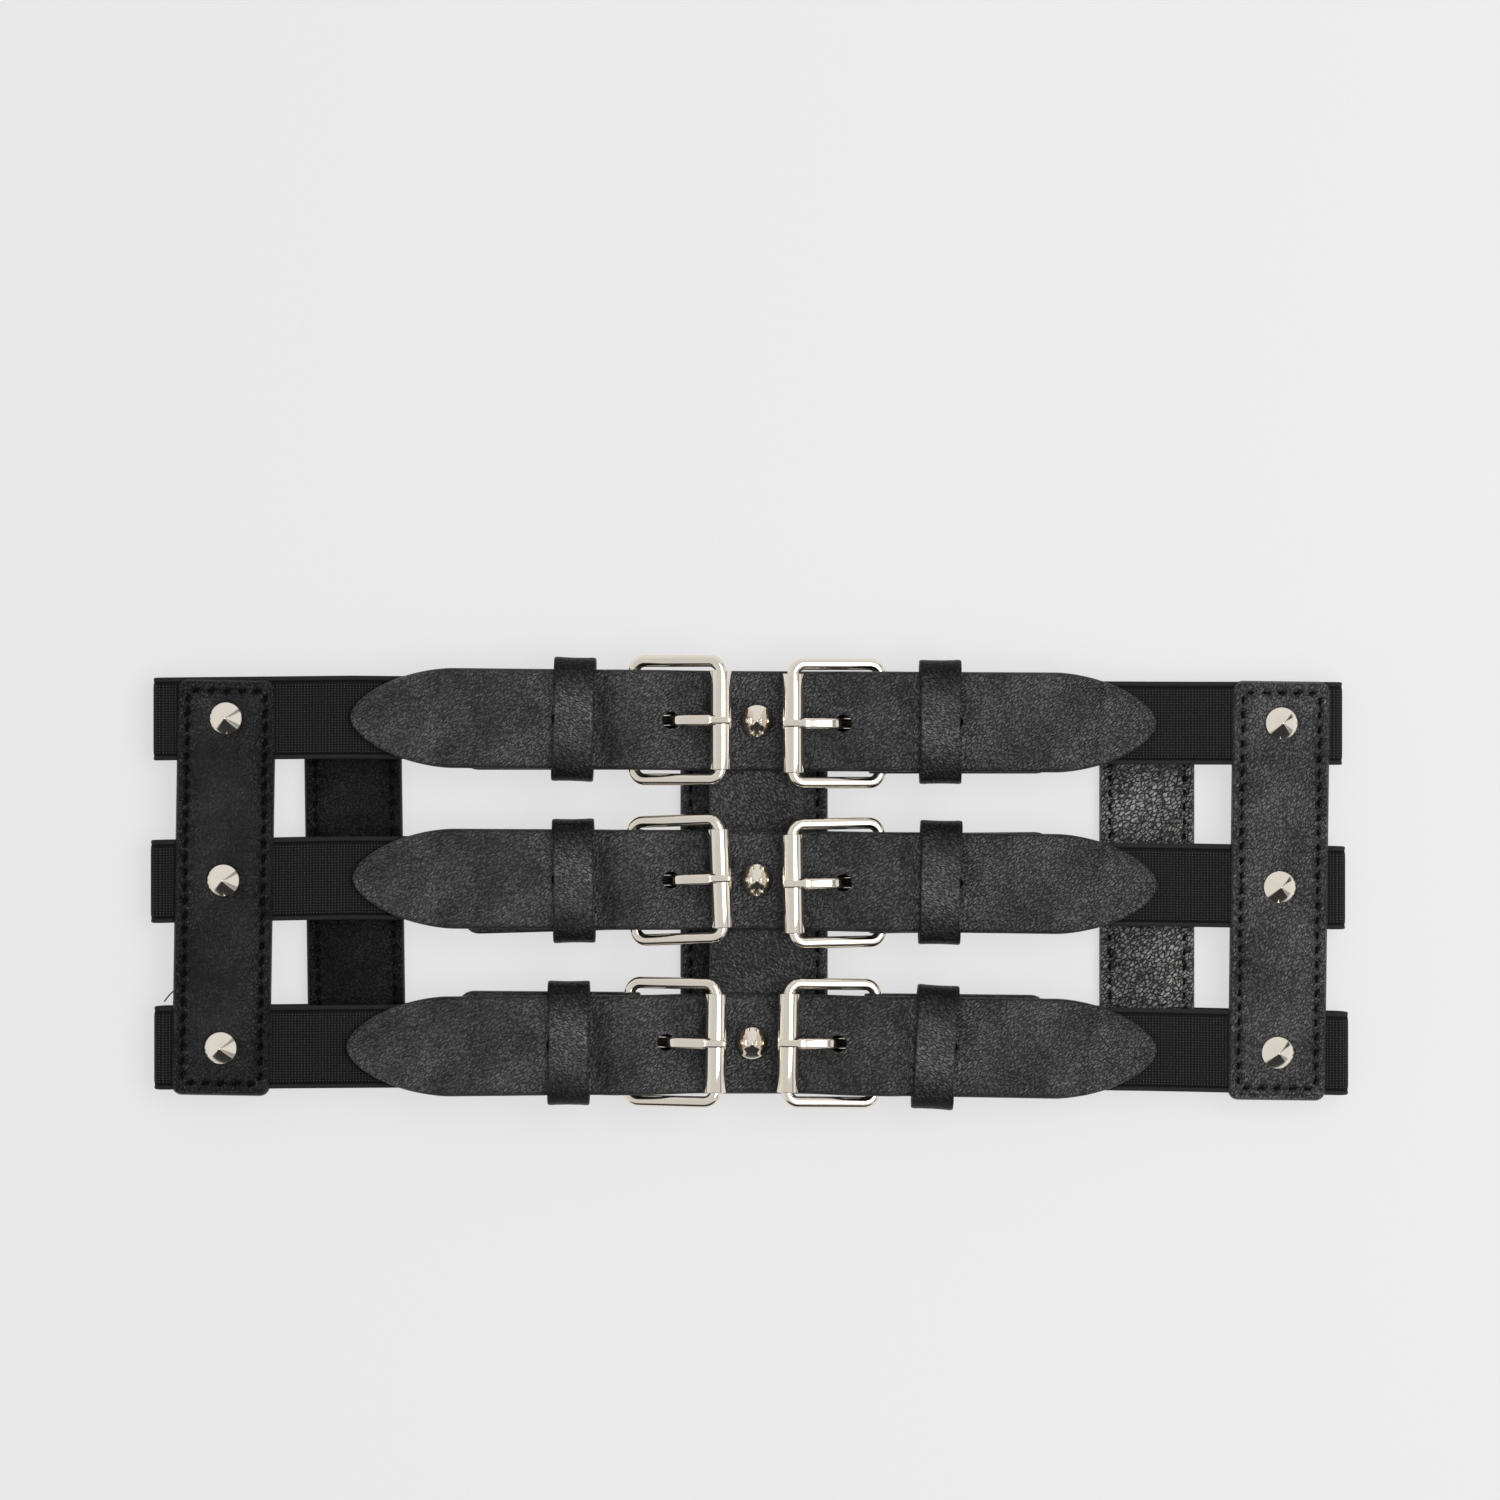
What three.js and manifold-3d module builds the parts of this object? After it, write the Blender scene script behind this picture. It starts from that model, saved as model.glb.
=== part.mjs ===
// Corset belt: three buckled leather straps on elastic bands, lying flat with the front uppermost.
// Millimetres. +X runs along the straps, +Y runs up the belt and +Z points out of its front.
import * as THREE from "three";
import { mergeVertices } from "three/addons/utils/BufferGeometryUtils.js";
import Module from "manifold-3d";

const wasm = await Module();
wasm.setup();

// Gaps between neighbours
const REST_GAP = 0.15;
const FIT_GAP = 0.3;
const TUNNEL_SIDE_GAP = 0.6;

// Edges and steps smaller than this are smoothed away
const FINEST_DETAIL = 0.02;

// Leather and elastic stock
const STRAP_WIDTH = 25;
const STRAP_THICK = 2;
const TIP_LENGTH = 25.5;
const TIP_FULLNESS = 1.72;
const PLY_THICK = 1;
const ELASTIC_WIDTH = 20.8;
const ELASTIC_THICK = 1.2;

// The belt as a whole: from row to row, up the middle panel, and out from the middle to strap tips and folds
const ROW_PITCH = 40.25;
const BELT_HEIGHT = 2 * ROW_PITCH + STRAP_WIDTH;
const STRAP_REACH = 101;
const HALF_LENGTH = 150;

// Heights of the front layer's underside over the floor: under the buckles and at the side panels
const FRONT_LEVEL = 9;
const SIDE_LEVEL = 7.4;
const RAMP_START = 77;
const RAMP_END = 117;

// Middle panel, smooth leather behind the three straps
const MIDDLE_PANEL = { width: 23.5, bulge: 0.5, height: BELT_HEIGHT, thick: 1.5, corner: 3, x: 1.75, y: 0.25 };

// Stitched side panels: the front pair over the elastic and the back pair on the floor
const PANEL_THICK = 3.5;
const PANEL_CORNER = 2.6;
const PANEL_EDGE = 0.5;
const FRONT_AT = HALF_LENGTH - 18;
const BACK_AT = STRAP_REACH - 1;
const PANEL_WIDTH = 24.4;
const FRONT_HEIGHT = BELT_HEIGHT - 0.5;
const BACK_HEIGHT = BELT_HEIGHT - 4.5;
const SIDE_PANELS = [
  { name: "front_panel_left", x: 0.2 - FRONT_AT, y: -0.9, wider: 0.2, height: FRONT_HEIGHT - 0.7, turn: -0.9 },
  { name: "front_panel_right", x: FRONT_AT + 0.5, y: -1.75, wider: 0, height: FRONT_HEIGHT, turn: -0.7 },
  { name: "back_panel_left", x: 0.4 - BACK_AT, y: 0, wider: 0.2, height: BACK_HEIGHT, turn: 0.8 },
  { name: "back_panel_right", x: BACK_AT, y: -1, wider: -0.4, height: BACK_HEIGHT, turn: 0 },
];

// Closure at the middle of the back: two overlapping stitched panels held by snaps
const CLOSURE_THICK = 2.7;
const SNAP_CAP = 0.65;
const CLOSURE_PANELS = [
  { name: "closure_panel_left", x: -5.25, sign: -1, level: SNAP_CAP + REST_GAP },
  { name: "closure_panel_right", x: 7.25, sign: 1, level: SNAP_CAP + 2 * REST_GAP + CLOSURE_THICK },
];
const CLOSURE_WIDTH = PANEL_WIDTH + 0.2;
const SNAP = { x: 1, capRadius: 5, headRadius: 3.6, shankRadius: 1.8, segments: 8 };

// Cone studs, each with a shank through the leather and a small flat head behind it
const STUD = {
  radius: 4.05, height: 4, rim: 0.4, apexRadius: 0.25,
  shankRadius: 1.2, headRadius: 2.6, headThick: 0.5,
};
const STUD_SEGMENTS = 10;
const BORE_SEGMENTS = 6;

// Buckles, as distances out from the row's middle stud
const ROLLER_AT = 9;
const HEEL_AT = 30.8;
const WIRE_RADIUS = 1.5;
const FRAME_SPAN = 29.6;
const FRAME_CORNER = 2.8;
const FRAME_CORNER_STEPS = 3;
const WIRE_SEGMENTS = 8;
const ROLLER = { radius: 2.675, length: 24.7, bore: 1.75, segments: 12 };
const PRONG = {
  width: 2.8, tipWidth: 1.9, thick: 1.8, tipThick: 1.1,
  tipAt: 6.5, shoulder: 11.6, eyeRadius: 2.5,
};
const PRONG_LIFT = 0.4;
const PRONG_HOLE_AT = 22.2;
const SPARE_HOLE_AT = 49.6;
const SPARE_HOLE_RADIUS = 1.75;

// Buckle tabs and keepers
const TAB_END = 73.75;
const TAB_CORNER = 4;
const FOLD_GAP = 0.35;
const PRONG_SLOT = { width: 4.6, from: 26, to: 34.4 };
const KEEPER_AT = 45.8;
const KEEPER = { width: 10.3, height: 31, wall: 1.2, corner: 2.6 };

// Heights over the front layer's underside
const HEEL_HEIGHT = PLY_THICK + FOLD_GAP + WIRE_RADIUS;
const OVER_PANEL = MIDDLE_PANEL.thick + REST_GAP;
const OVER_HEEL = 2 * HEEL_HEIGHT + REST_GAP;
const ELASTIC_MIDDLE = PLY_THICK + REST_GAP + ELASTIC_THICK / 2;
const UPPER_PLY = ELASTIC_MIDDLE + ELASTIC_THICK / 2 + REST_GAP;
const OVER_TAB = UPPER_PLY + PLY_THICK + REST_GAP;
const OVER_ELASTIC = UPPER_PLY;
const ROLLER_HEIGHT = OVER_PANEL + STRAP_THICK + REST_GAP + ROLLER.radius;
const PRONG_TIP_HEIGHT = ROLLER_HEIGHT + ROLLER.radius + PRONG_LIFT + PRONG.thick / 2;

// How the strap's underside climbs on its way out from the middle stud
const STRAP_CLIMB = [
  { out: 0, height: OVER_PANEL },
  { out: 12.5, height: OVER_PANEL },
  { out: 28, height: OVER_HEEL },
  { out: 34, height: OVER_HEEL },
  { out: 39.5, height: OVER_TAB },
  { out: 74.5, height: OVER_TAB },
  { out: 81, height: OVER_ELASTIC },
  { out: 110, height: OVER_ELASTIC },
];

// Elastic: its height on the floor side, the depth of its fold, how far from the belt's middle its back end
// lies and how far its front end stays back from the heel bar
const BACK_ELASTIC_MIDDLE = PANEL_THICK / 2;
const FOLD_REACH = 2.4;
const BACK_END = 13;
const ELASTIC_SETBACK = 7.5;

// Rows from the top down. X and Y are those of the middle stud, the drifts say how far the row wanders up the
// belt at its strap tips and folds, and the tips and folds say how much farther out they lie than the belt's own.
const ROWS = [
  {
    name: "top", x: 1.75, y: ROW_PITCH + 0.5,
    foldDriftLeft: 0.5, tipDriftLeft: 1, tipDriftRight: -0.5, foldDriftRight: -0.6,
    tipLeft: 0.75, tipRight: -1, foldLeft: 1.6, foldRight: -3,
  },
  {
    name: "middle", x: 1.75, y: 1,
    foldDriftLeft: -0.5, tipDriftLeft: 0.5, tipDriftRight: -1.25, foldDriftRight: -2.1,
    tipLeft: 0.25, tipRight: -0.75, foldLeft: 2.25, foldRight: -2.25,
  },
  {
    name: "bottom", x: 0.5, y: 0.5 - ROW_PITCH,
    foldDriftLeft: -1.5, tipDriftLeft: -1, tipDriftRight: -1.75, foldDriftRight: -2.9,
    tipLeft: 0.5, tipRight: 0.25, foldLeft: 0.15, foldRight: -0.25,
  },
];
const DRIFT_TIP_AT = 100;
const DRIFT_FOLD_AT = 150;

// How each buckle, tab and keeper has settled: turns in degrees about Z and the buckle's play up the belt
const SETTLING = [
  { unit: "top_left", buckleTurn: 0, play: 0, tabTurn: 0, keeperTurn: -1.6, keeperPlay: 0 },
  { unit: "top_right", buckleTurn: 0, play: -0.5, tabTurn: 0, keeperTurn: 0, keeperPlay: 0 },
  { unit: "middle_left", buckleTurn: 2.2, play: 0, tabTurn: 1.6, keeperTurn: 0.7, keeperPlay: -0.4 },
  { unit: "middle_right", buckleTurn: 1, play: -0.4, tabTurn: 0.4, keeperTurn: -1.1, keeperPlay: 0 },
  { unit: "bottom_left", buckleTurn: -0.8, play: 0.5, tabTurn: -0.4, keeperTurn: -0.2, keeperPlay: 0.5 },
  { unit: "bottom_right", buckleTurn: -1, play: 0.4, tabTurn: -0.6, keeperTurn: -3.2, keeperPlay: -0.2 },
];
const SIDES = [
  { name: "left", sign: -1, turn: Math.PI },
  { name: "right", sign: 1, turn: 0 },
];

// Colours by material
const BLACK_LEATHER = new THREE.MeshStandardMaterial({ color: 0x2b2b2d, roughness: 0.6 });
const BLACK_ELASTIC = new THREE.MeshStandardMaterial({ color: 0x1b1b1b, roughness: 0.9 });
const NICKEL = new THREE.MeshStandardMaterial({ color: 0xc9c3b8, roughness: 0.25, metalness: 1 });

const group = new THREE.Group();
group.name = "corset_belt";

// A closed solid from a three.js geometry.
function solidOf(geometry) {
  const bare = geometry.clone();
  bare.deleteAttribute("normal");
  bare.deleteAttribute("uv");
  const merged = mergeVertices(bare, 1e-4);
  return new wasm.Manifold(
    new wasm.Mesh({
      numProp: 3,
      vertProperties: new Float32Array(merged.attributes.position.array),
      triVerts: new Uint32Array(merged.index.array),
    }),
  );
}

// Puts a solid in the group under its name.
function add(name, solid, material) {
  const made = solid.simplify(FINEST_DETAIL).getMesh();
  const geometry = new THREE.BufferGeometry();
  geometry.setAttribute("position", new THREE.BufferAttribute(made.vertProperties, 3));
  geometry.setIndex(new THREE.BufferAttribute(made.triVerts, 1));
  geometry.computeVertexNormals();
  const mesh = new THREE.Mesh(geometry, material);
  mesh.name = name;
  group.add(mesh);
}

function moved(solid, x, y, z) {
  return solid.transform(new THREE.Matrix4().makeTranslation(x, y, z).elements);
}

// A smooth climb through a table of places and heights.
function climb(table, out) {
  const next = Math.max(1, table.findIndex((row) => row.out >= out));
  const [low, high] = [table[next - 1], table[next]];
  return THREE.MathUtils.lerp(low.height, high.height, THREE.MathUtils.smoothstep(out, low.out, high.out));
}

// Height of the front layer's underside over the floor at a place along the belt.
function frontLevel(x) {
  const share = THREE.MathUtils.smoothstep(Math.abs(x), RAMP_START, RAMP_END);
  return THREE.MathUtils.lerp(FRONT_LEVEL, SIDE_LEVEL, share);
}

// How far a row has wandered up the belt at a place along it.
function drift(row, x) {
  const out = Math.abs(x);
  const tip = x < 0 ? row.tipDriftLeft : row.tipDriftRight;
  const fold = x < 0 ? row.foldDriftLeft : row.foldDriftRight;
  if (out < DRIFT_TIP_AT) {
    return (tip * out) / DRIFT_TIP_AT;
  }
  return THREE.MathUtils.mapLinear(out, DRIFT_TIP_AT, DRIFT_FOLD_AT, tip, fold);
}

// Bends a row's soft piece up and down the belt with the row's drift and puts it at the row's height.
function drifted(solid, row) {
  return solid.warp((point) => {
    point[1] += row.y + drift(row, point[0]);
  });
}

// A profile drawn in X and Z, given its width along Y about the row's line.
function acrossBelt(shape, width) {
  const geometry = new THREE.ExtrudeGeometry(shape, { depth: width, bevelEnabled: false });
  geometry.rotateX(Math.PI / 2);
  geometry.translate(0, width / 2, 0);
  return solidOf(geometry);
}

// An outline drawn in X and Y, tall enough to cut anything on the belt.
function planOf(shape) {
  const depth = 60;
  const geometry = new THREE.ExtrudeGeometry(shape, { depth, bevelEnabled: false, curveSegments: 3 });
  geometry.translate(0, 0, -depth / 2);
  return solidOf(geometry);
}

// A flat band of even thickness along a line of middle points in X and Z.
function band(points, thickness, width) {
  const last = points.length - 1;
  const geometry = new THREE.BoxGeometry(last, width, thickness, last, 1, 1);
  const place = geometry.attributes.position;
  for (let i = 0; i < place.count; i += 1) {
    const index = Math.round(place.getX(i) + last / 2);
    const before = points[Math.max(index - 1, 0)];
    const after = points[Math.min(index + 1, last)];
    const normal = new THREE.Vector2(before.y - after.y, after.x - before.x).normalize();
    const { x, y: z } = points[index].clone().addScaledVector(normal, place.getZ(i));
    place.setXYZ(i, x, place.getY(i), z);
  }
  return solidOf(geometry);
}

// A rectangle with rounded corners about its own centre.
function roundedRectangle(width, height, corner) {
  const [right, top] = [width / 2, height / 2];
  const shape = new THREE.Shape();
  shape.moveTo(-right + corner, -top);
  shape.lineTo(right - corner, -top);
  shape.absarc(right - corner, corner - top, corner, -Math.PI / 2, 0);
  shape.lineTo(right, top - corner);
  shape.absarc(right - corner, top - corner, corner, 0, Math.PI / 2);
  shape.lineTo(corner - right, top);
  shape.absarc(corner - right, top - corner, corner, Math.PI / 2, Math.PI);
  shape.lineTo(-right, corner - top);
  shape.absarc(corner - right, corner - top, corner, Math.PI, Math.PI * 1.5);
  return shape;
}

// A round bore or post along Z between two heights.
function post(x, y, low, high, radius, segments) {
  const geometry = new THREE.CylinderGeometry(radius, radius, high - low, segments);
  geometry.rotateX(Math.PI / 2);
  geometry.translate(x, y, (low + high) / 2);
  return solidOf(geometry);
}

// A turned piece about Z from pairs of radius and height, starting and ending on the axis.
function turned(pairs, segments) {
  const geometry = new THREE.LatheGeometry(pairs.map(([radius, z]) => new THREE.Vector2(radius, z)), segments);
  geometry.rotateX(Math.PI / 2);
  return solidOf(geometry);
}

// Seats a piece drawn outward along +X from a row's stud: it turns about a pivot on its side of the row.
function seated(solid, row, side, pivot, turn, play) {
  const x = row.x + side.sign * pivot;
  const place = new THREE.Matrix4()
    .makeTranslation(x, row.y + drift(row, x) + play, FRONT_LEVEL)
    .multiply(new THREE.Matrix4().makeRotationZ(side.turn + THREE.MathUtils.degToRad(turn)))
    .multiply(new THREE.Matrix4().makeTranslation(-pivot, 0, 0));
  return solid.transform(place.elements);
}

// The closed line of the buckle's wire, with one point for each ring of the tube.
class FrameLine extends THREE.Curve {
  constructor(length, span, corner, steps) {
    super();
    const [endX, endY] = [length / 2 - corner, span / 2 - corner];
    const corners = [
      { x: endX, y: endY, start: 0 },
      { x: -endX, y: endY, start: Math.PI / 2 },
      { x: -endX, y: -endY, start: Math.PI },
      { x: endX, y: -endY, start: Math.PI * 1.5 },
    ];
    this.rings = corners.flatMap(({ x, y, start }) =>
      Array.from({ length: steps + 1 }, (_, step) => {
        const angle = start + (step / steps) * (Math.PI / 2);
        return new THREE.Vector3(x + corner * Math.cos(angle), y + corner * Math.sin(angle), 0);
      }),
    );
  }

  ring(index) {
    const count = this.rings.length;
    return this.rings[((index % count) + count) % count];
  }

  getPointAt(share) {
    return this.ring(Math.round(share * this.rings.length)).clone();
  }

  getTangentAt(share) {
    const index = Math.round(share * this.rings.length);
    const before = this.ring(index).clone().sub(this.ring(index - 1)).normalize();
    const after = this.ring(index + 1).clone().sub(this.ring(index)).normalize();
    return before.add(after).normalize();
  }
}

// The wire rectangle, tilted up from the heel bar under the strap to the roller bar over it.
function buckleFrame() {
  const [run, rise] = [HEEL_AT - ROLLER_AT, ROLLER_HEIGHT - HEEL_HEIGHT];
  const line = new FrameLine(Math.hypot(run, rise), FRAME_SPAN, FRAME_CORNER, FRAME_CORNER_STEPS);
  const geometry = new THREE.TubeGeometry(line, line.rings.length, WIRE_RADIUS, WIRE_SEGMENTS, true);
  geometry.rotateY(Math.atan2(rise, run));
  geometry.translate((HEEL_AT + ROLLER_AT) / 2, 0, (HEEL_HEIGHT + ROLLER_HEIGHT) / 2);
  return solidOf(geometry);
}

// The loose tube on the roller bar.
function roller() {
  const half = ROLLER.length / 2;
  const section = [
    [ROLLER.bore, -half],
    [ROLLER.radius, -half],
    [ROLLER.radius, half],
    [ROLLER.bore, half],
    [ROLLER.bore, -half],
  ];
  const points = section.map(([radius, along]) => new THREE.Vector2(radius, along));
  const geometry = new THREE.LatheGeometry(points, ROLLER.segments);
  geometry.translate(ROLLER_AT, 0, 0);
  return moved(solidOf(geometry), 0, 0, ROLLER_HEIGHT);
}

// The prong's bar, rising from a place by the heel bar and level over the roller, with room added all round.
function prongBar(room, from) {
  const slope = (PRONG_TIP_HEIGHT - HEEL_HEIGHT) / (HEEL_AT - ROLLER_AT);
  const lift = (PRONG.thick / 2 + room) * Math.hypot(1, slope);
  const middle = (out) => HEEL_HEIGHT + (HEEL_AT - out) * slope;
  const outAt = (height) => HEEL_AT - (height - HEEL_HEIGHT) / slope;
  const low = ROLLER_HEIGHT + ROLLER.radius + REST_GAP - room;
  const high = low + PRONG.tipThick + 2 * room;
  const tip = PRONG.tipAt - room;
  const shape = new THREE.Shape([
    new THREE.Vector2(from, middle(from) - lift),
    new THREE.Vector2(from, middle(from) + lift),
    new THREE.Vector2(outAt(high - lift), high),
    new THREE.Vector2(tip + 0.8, high),
    new THREE.Vector2(tip, THREE.MathUtils.lerp(low, high, 0.7)),
    new THREE.Vector2(tip, THREE.MathUtils.lerp(low, high, 0.3)),
    new THREE.Vector2(tip + 0.8, low),
    new THREE.Vector2(outAt(low + lift), low),
  ]);
  return acrossBelt(shape, PRONG.width + 2 * room);
}

// The prong: an eye round the heel bar and the bar, narrower from its shoulder to its tip.
function prong() {
  const eye = new THREE.CylinderGeometry(PRONG.eyeRadius, PRONG.eyeRadius, PRONG.width, 12);
  const bore = new THREE.CylinderGeometry(ROLLER.bore, ROLLER.bore, 2 * PRONG.width, 10);
  const atHeel = (geometry) => moved(solidOf(geometry), HEEL_AT, 0, HEEL_HEIGHT);
  const [wide, narrow] = [PRONG.width / 2, PRONG.tipWidth / 2];
  const outline = new THREE.Shape([
    new THREE.Vector2(HEEL_AT + PRONG.eyeRadius + 1, wide),
    new THREE.Vector2(PRONG.shoulder + 0.5, wide),
    new THREE.Vector2(PRONG.shoulder - 0.5, narrow),
    new THREE.Vector2(PRONG.tipAt + 0.6, narrow),
    new THREE.Vector2(PRONG.tipAt, narrow * 0.5),
    new THREE.Vector2(PRONG.tipAt, -narrow * 0.5),
    new THREE.Vector2(PRONG.tipAt + 0.6, -narrow),
    new THREE.Vector2(PRONG.shoulder - 0.5, -narrow),
    new THREE.Vector2(PRONG.shoulder + 0.5, -wide),
    new THREE.Vector2(HEEL_AT + PRONG.eyeRadius + 1, -wide),
  ]);
  return prongBar(0, HEEL_AT).add(atHeel(eye)).subtract(atHeel(bore)).intersect(planOf(outline));
}

// The leather tab folded round the heel bar, open at its outer end for the elastic.
function tab() {
  const [lower, upper] = [PLY_THICK / 2, UPPER_PLY + PLY_THICK / 2];
  const foldRadius = HEEL_HEIGHT - lower;
  const points = [new THREE.Vector2(TAB_END, lower)];
  const arcSteps = 5;
  for (let step = 0; step <= arcSteps; step += 1) {
    const angle = -Math.PI / 2 - (step / arcSteps) * Math.PI;
    const fromBar = new THREE.Vector2(foldRadius * Math.cos(angle), foldRadius * Math.sin(angle));
    points.push(fromBar.add(new THREE.Vector2(HEEL_AT, HEEL_HEIGHT)));
  }
  const descent = [
    { out: HEEL_AT, height: HEEL_HEIGHT + foldRadius },
    { out: HEEL_AT + 6.2, height: upper },
  ];
  const descentSteps = 3;
  for (let step = 1; step <= descentSteps; step += 1) {
    const out = THREE.MathUtils.lerp(descent[0].out, descent[1].out, step / descentSteps);
    points.push(new THREE.Vector2(out, climb(descent, out)));
  }
  points.push(new THREE.Vector2(TAB_END, upper));
  const inside = HEEL_AT - 2 * foldRadius - TAB_CORNER;
  const plan = moved(
    planOf(roundedRectangle(TAB_END - inside, STRAP_WIDTH, TAB_CORNER)),
    (TAB_END + inside) / 2,
    0,
    0,
  );
  const slotLength = PRONG_SLOT.to - PRONG_SLOT.from;
  const slot = moved(
    solidOf(new THREE.BoxGeometry(slotLength, PRONG_SLOT.width, 4 * HEEL_HEIGHT)),
    (PRONG_SLOT.to + PRONG_SLOT.from) / 2,
    0,
    HEEL_HEIGHT,
  );
  return band(points, PLY_THICK, STRAP_WIDTH).intersect(plan).subtract(slot);
}

// The leather loop round the strap and the tab.
function keeper() {
  const { width, height, wall, corner } = KEEPER;
  const inside = OVER_TAB + STRAP_THICK + 2 * REST_GAP;
  const section = roundedRectangle(height, inside + 2 * wall, corner);
  section.holes.push(roundedRectangle(height - 2 * wall, inside, corner - wall));
  const geometry = new THREE.ExtrudeGeometry(section, { depth: width, bevelEnabled: false, curveSegments: 2 });
  const turn = new THREE.Matrix4().makeBasis(
    new THREE.Vector3(0, 1, 0),
    new THREE.Vector3(0, 0, 1),
    new THREE.Vector3(1, 0, 0),
  );
  geometry.applyMatrix4(turn);
  geometry.translate(KEEPER_AT - width / 2, 0, inside / 2 - REST_GAP);
  return solidOf(geometry);
}

// The strap's plan: straight edges and a full arch closing to a soft point at each tip.
function strapPlan(row) {
  const steps = [0, 0.3, 0.55, 0.75, 0.89, 0.97, 1];
  const shape = new THREE.Shape();
  const edge = (side, tip) =>
    steps.map((share) => {
      const across = (STRAP_WIDTH / 2) * (1 - share ** TIP_FULLNESS) ** (1 / TIP_FULLNESS);
      return new THREE.Vector2(row.x + side * (STRAP_REACH + tip - TIP_LENGTH * (1 - share)), across);
    });
  const upper = [...edge(-1, row.tipLeft).reverse(), ...edge(1, row.tipRight)];
  const lower = upper.slice(1, -1).reverse().map((point) => new THREE.Vector2(point.x, -point.y));
  shape.setFromPoints([...upper, ...lower]);
  return planOf(shape);
}

// One double-ended strap: down under both rollers, up through the buckles and out over the tabs to its tips.
function rowStrap(row, settlings) {
  const outs = [0, 12.5, 15, 17.5, 20, 22.5, 25, 28, 34, 35.5, 37, 39.5, 74.5, 77, 79, 81, 91];
  const places = [...outs.slice(1).reverse().map((out) => -out), ...outs];
  const middle = (x) => frontLevel(row.x + x) + climb(STRAP_CLIMB, Math.abs(x)) + STRAP_THICK / 2;
  const ends = [-STRAP_REACH - row.tipLeft - 1, ...places, STRAP_REACH + row.tipRight + 1];
  const points = ends.map((x) => new THREE.Vector2(row.x + x, middle(x)));
  let strap = drifted(band(points, STRAP_THICK, STRAP_WIDTH).intersect(strapPlan(row)), row);
  SIDES.forEach((side) => {
    const { buckleTurn, play } = settlings[side.name];
    const hole = post(SPARE_HOLE_AT, 0, 0, OVER_HEEL + STRAP_THICK, SPARE_HOLE_RADIUS, BORE_SEGMENTS + 2);
    const room = prongBar(FIT_GAP, PRONG_HOLE_AT + 6);
    strap = strap
      .subtract(seated(hole, row, side, SPARE_HOLE_AT, 0, 0))
      .subtract(seated(room, row, side, (HEEL_AT + ROLLER_AT) / 2, buckleTurn, play));
  });
  return strap.subtract(studBore(row.x, row.y, FRONT_LEVEL));
}

// An elastic band: along the front, round the fold at the belt's end and back to the closure.
function elastic(row, side) {
  const { sign } = side;
  const fold = HALF_LENGTH + (side.name === "left" ? row.foldLeft : row.foldRight);
  const closure = CLOSURE_PANELS[sign < 0 ? 0 : 1];
  const topMiddle = SIDE_LEVEL + ELASTIC_MIDDLE;
  const foldRadius = (topMiddle - BACK_ELASTIC_MIDDLE) / 2;
  const foldAt = Math.abs(row.x + sign * fold) - FOLD_REACH - ELASTIC_THICK / 2;
  const fronts = [HEEL_AT + ELASTIC_SETBACK, 77, 85, 93, 101, 109, 117].map((out) => ({
    out,
    height: frontLevel(out) + ELASTIC_MIDDLE,
  }));
  const arcSteps = 7;
  const bend = Array.from({ length: arcSteps + 1 }, (_, step) => {
    const angle = Math.PI / 2 - (step / arcSteps) * Math.PI;
    return {
      out: foldAt + FOLD_REACH * Math.cos(angle),
      height: BACK_ELASTIC_MIDDLE + foldRadius + foldRadius * Math.sin(angle),
    };
  });
  const rise = [
    { out: 22, height: closure.level + CLOSURE_THICK / 2 },
    { out: 45, height: BACK_ELASTIC_MIDDLE },
  ];
  const backs = [101, 80, 45, 40, 34, 27, 22].map((out) => ({ out, height: climb(rise, out) }));
  const end = { out: BACK_END, height: rise[0].height };
  const line = [...fronts, ...bend, ...backs, end];
  const points = line.map(({ out, height }) => new THREE.Vector2(sign * out, height));
  return drifted(band(points, ELASTIC_THICK, ELASTIC_WIDTH), row);
}

// The room that a row's elastic takes through a panel, between two places along the belt.
function tunnel(row, from, to, height) {
  const [wide, deep] = [ELASTIC_WIDTH + 2 * TUNNEL_SIDE_GAP, ELASTIC_THICK + 2 * REST_GAP];
  const geometry = new THREE.BoxGeometry(to - from, wide, deep);
  const middle = (from + to) / 2;
  geometry.translate(middle, row.y + drift(row, middle), height);
  return solidOf(geometry);
}

// A stitched panel's plain body: a rounded rectangle with softened edges.
function panel(width, height, thick) {
  const geometry = new THREE.ExtrudeGeometry(
    roundedRectangle(width - 2 * PANEL_EDGE, height - 2 * PANEL_EDGE, PANEL_CORNER - PANEL_EDGE),
    {
      depth: thick - 2 * PANEL_EDGE,
      bevelThickness: PANEL_EDGE,
      bevelSize: PANEL_EDGE,
      bevelSegments: 1,
      curveSegments: 2,
    },
  );
  geometry.translate(0, 0, PANEL_EDGE);
  return solidOf(geometry);
}

// The middle panel: its sides swell a little between the straps.
function middlePanel() {
  const { width, bulge, height, thick, corner, x, y } = MIDDLE_PANEL;
  const body = panel(width, height, thick);
  const swell = (point) => Math.sin((point[1] / (height - 2 * corner)) * Math.PI * 2) ** 2;
  const swollen = body.refineToLength(height / 10).simplify(0.02).warp((point) => {
    point[0] *= 1 + (swell(point) * bulge) / width;
  });
  const bores = ROWS.map((row) => studBore(row.x, row.y, FRONT_LEVEL));
  return bores.reduce((solid, bore) => solid.subtract(bore), moved(swollen, x, y, FRONT_LEVEL));
}

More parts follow.
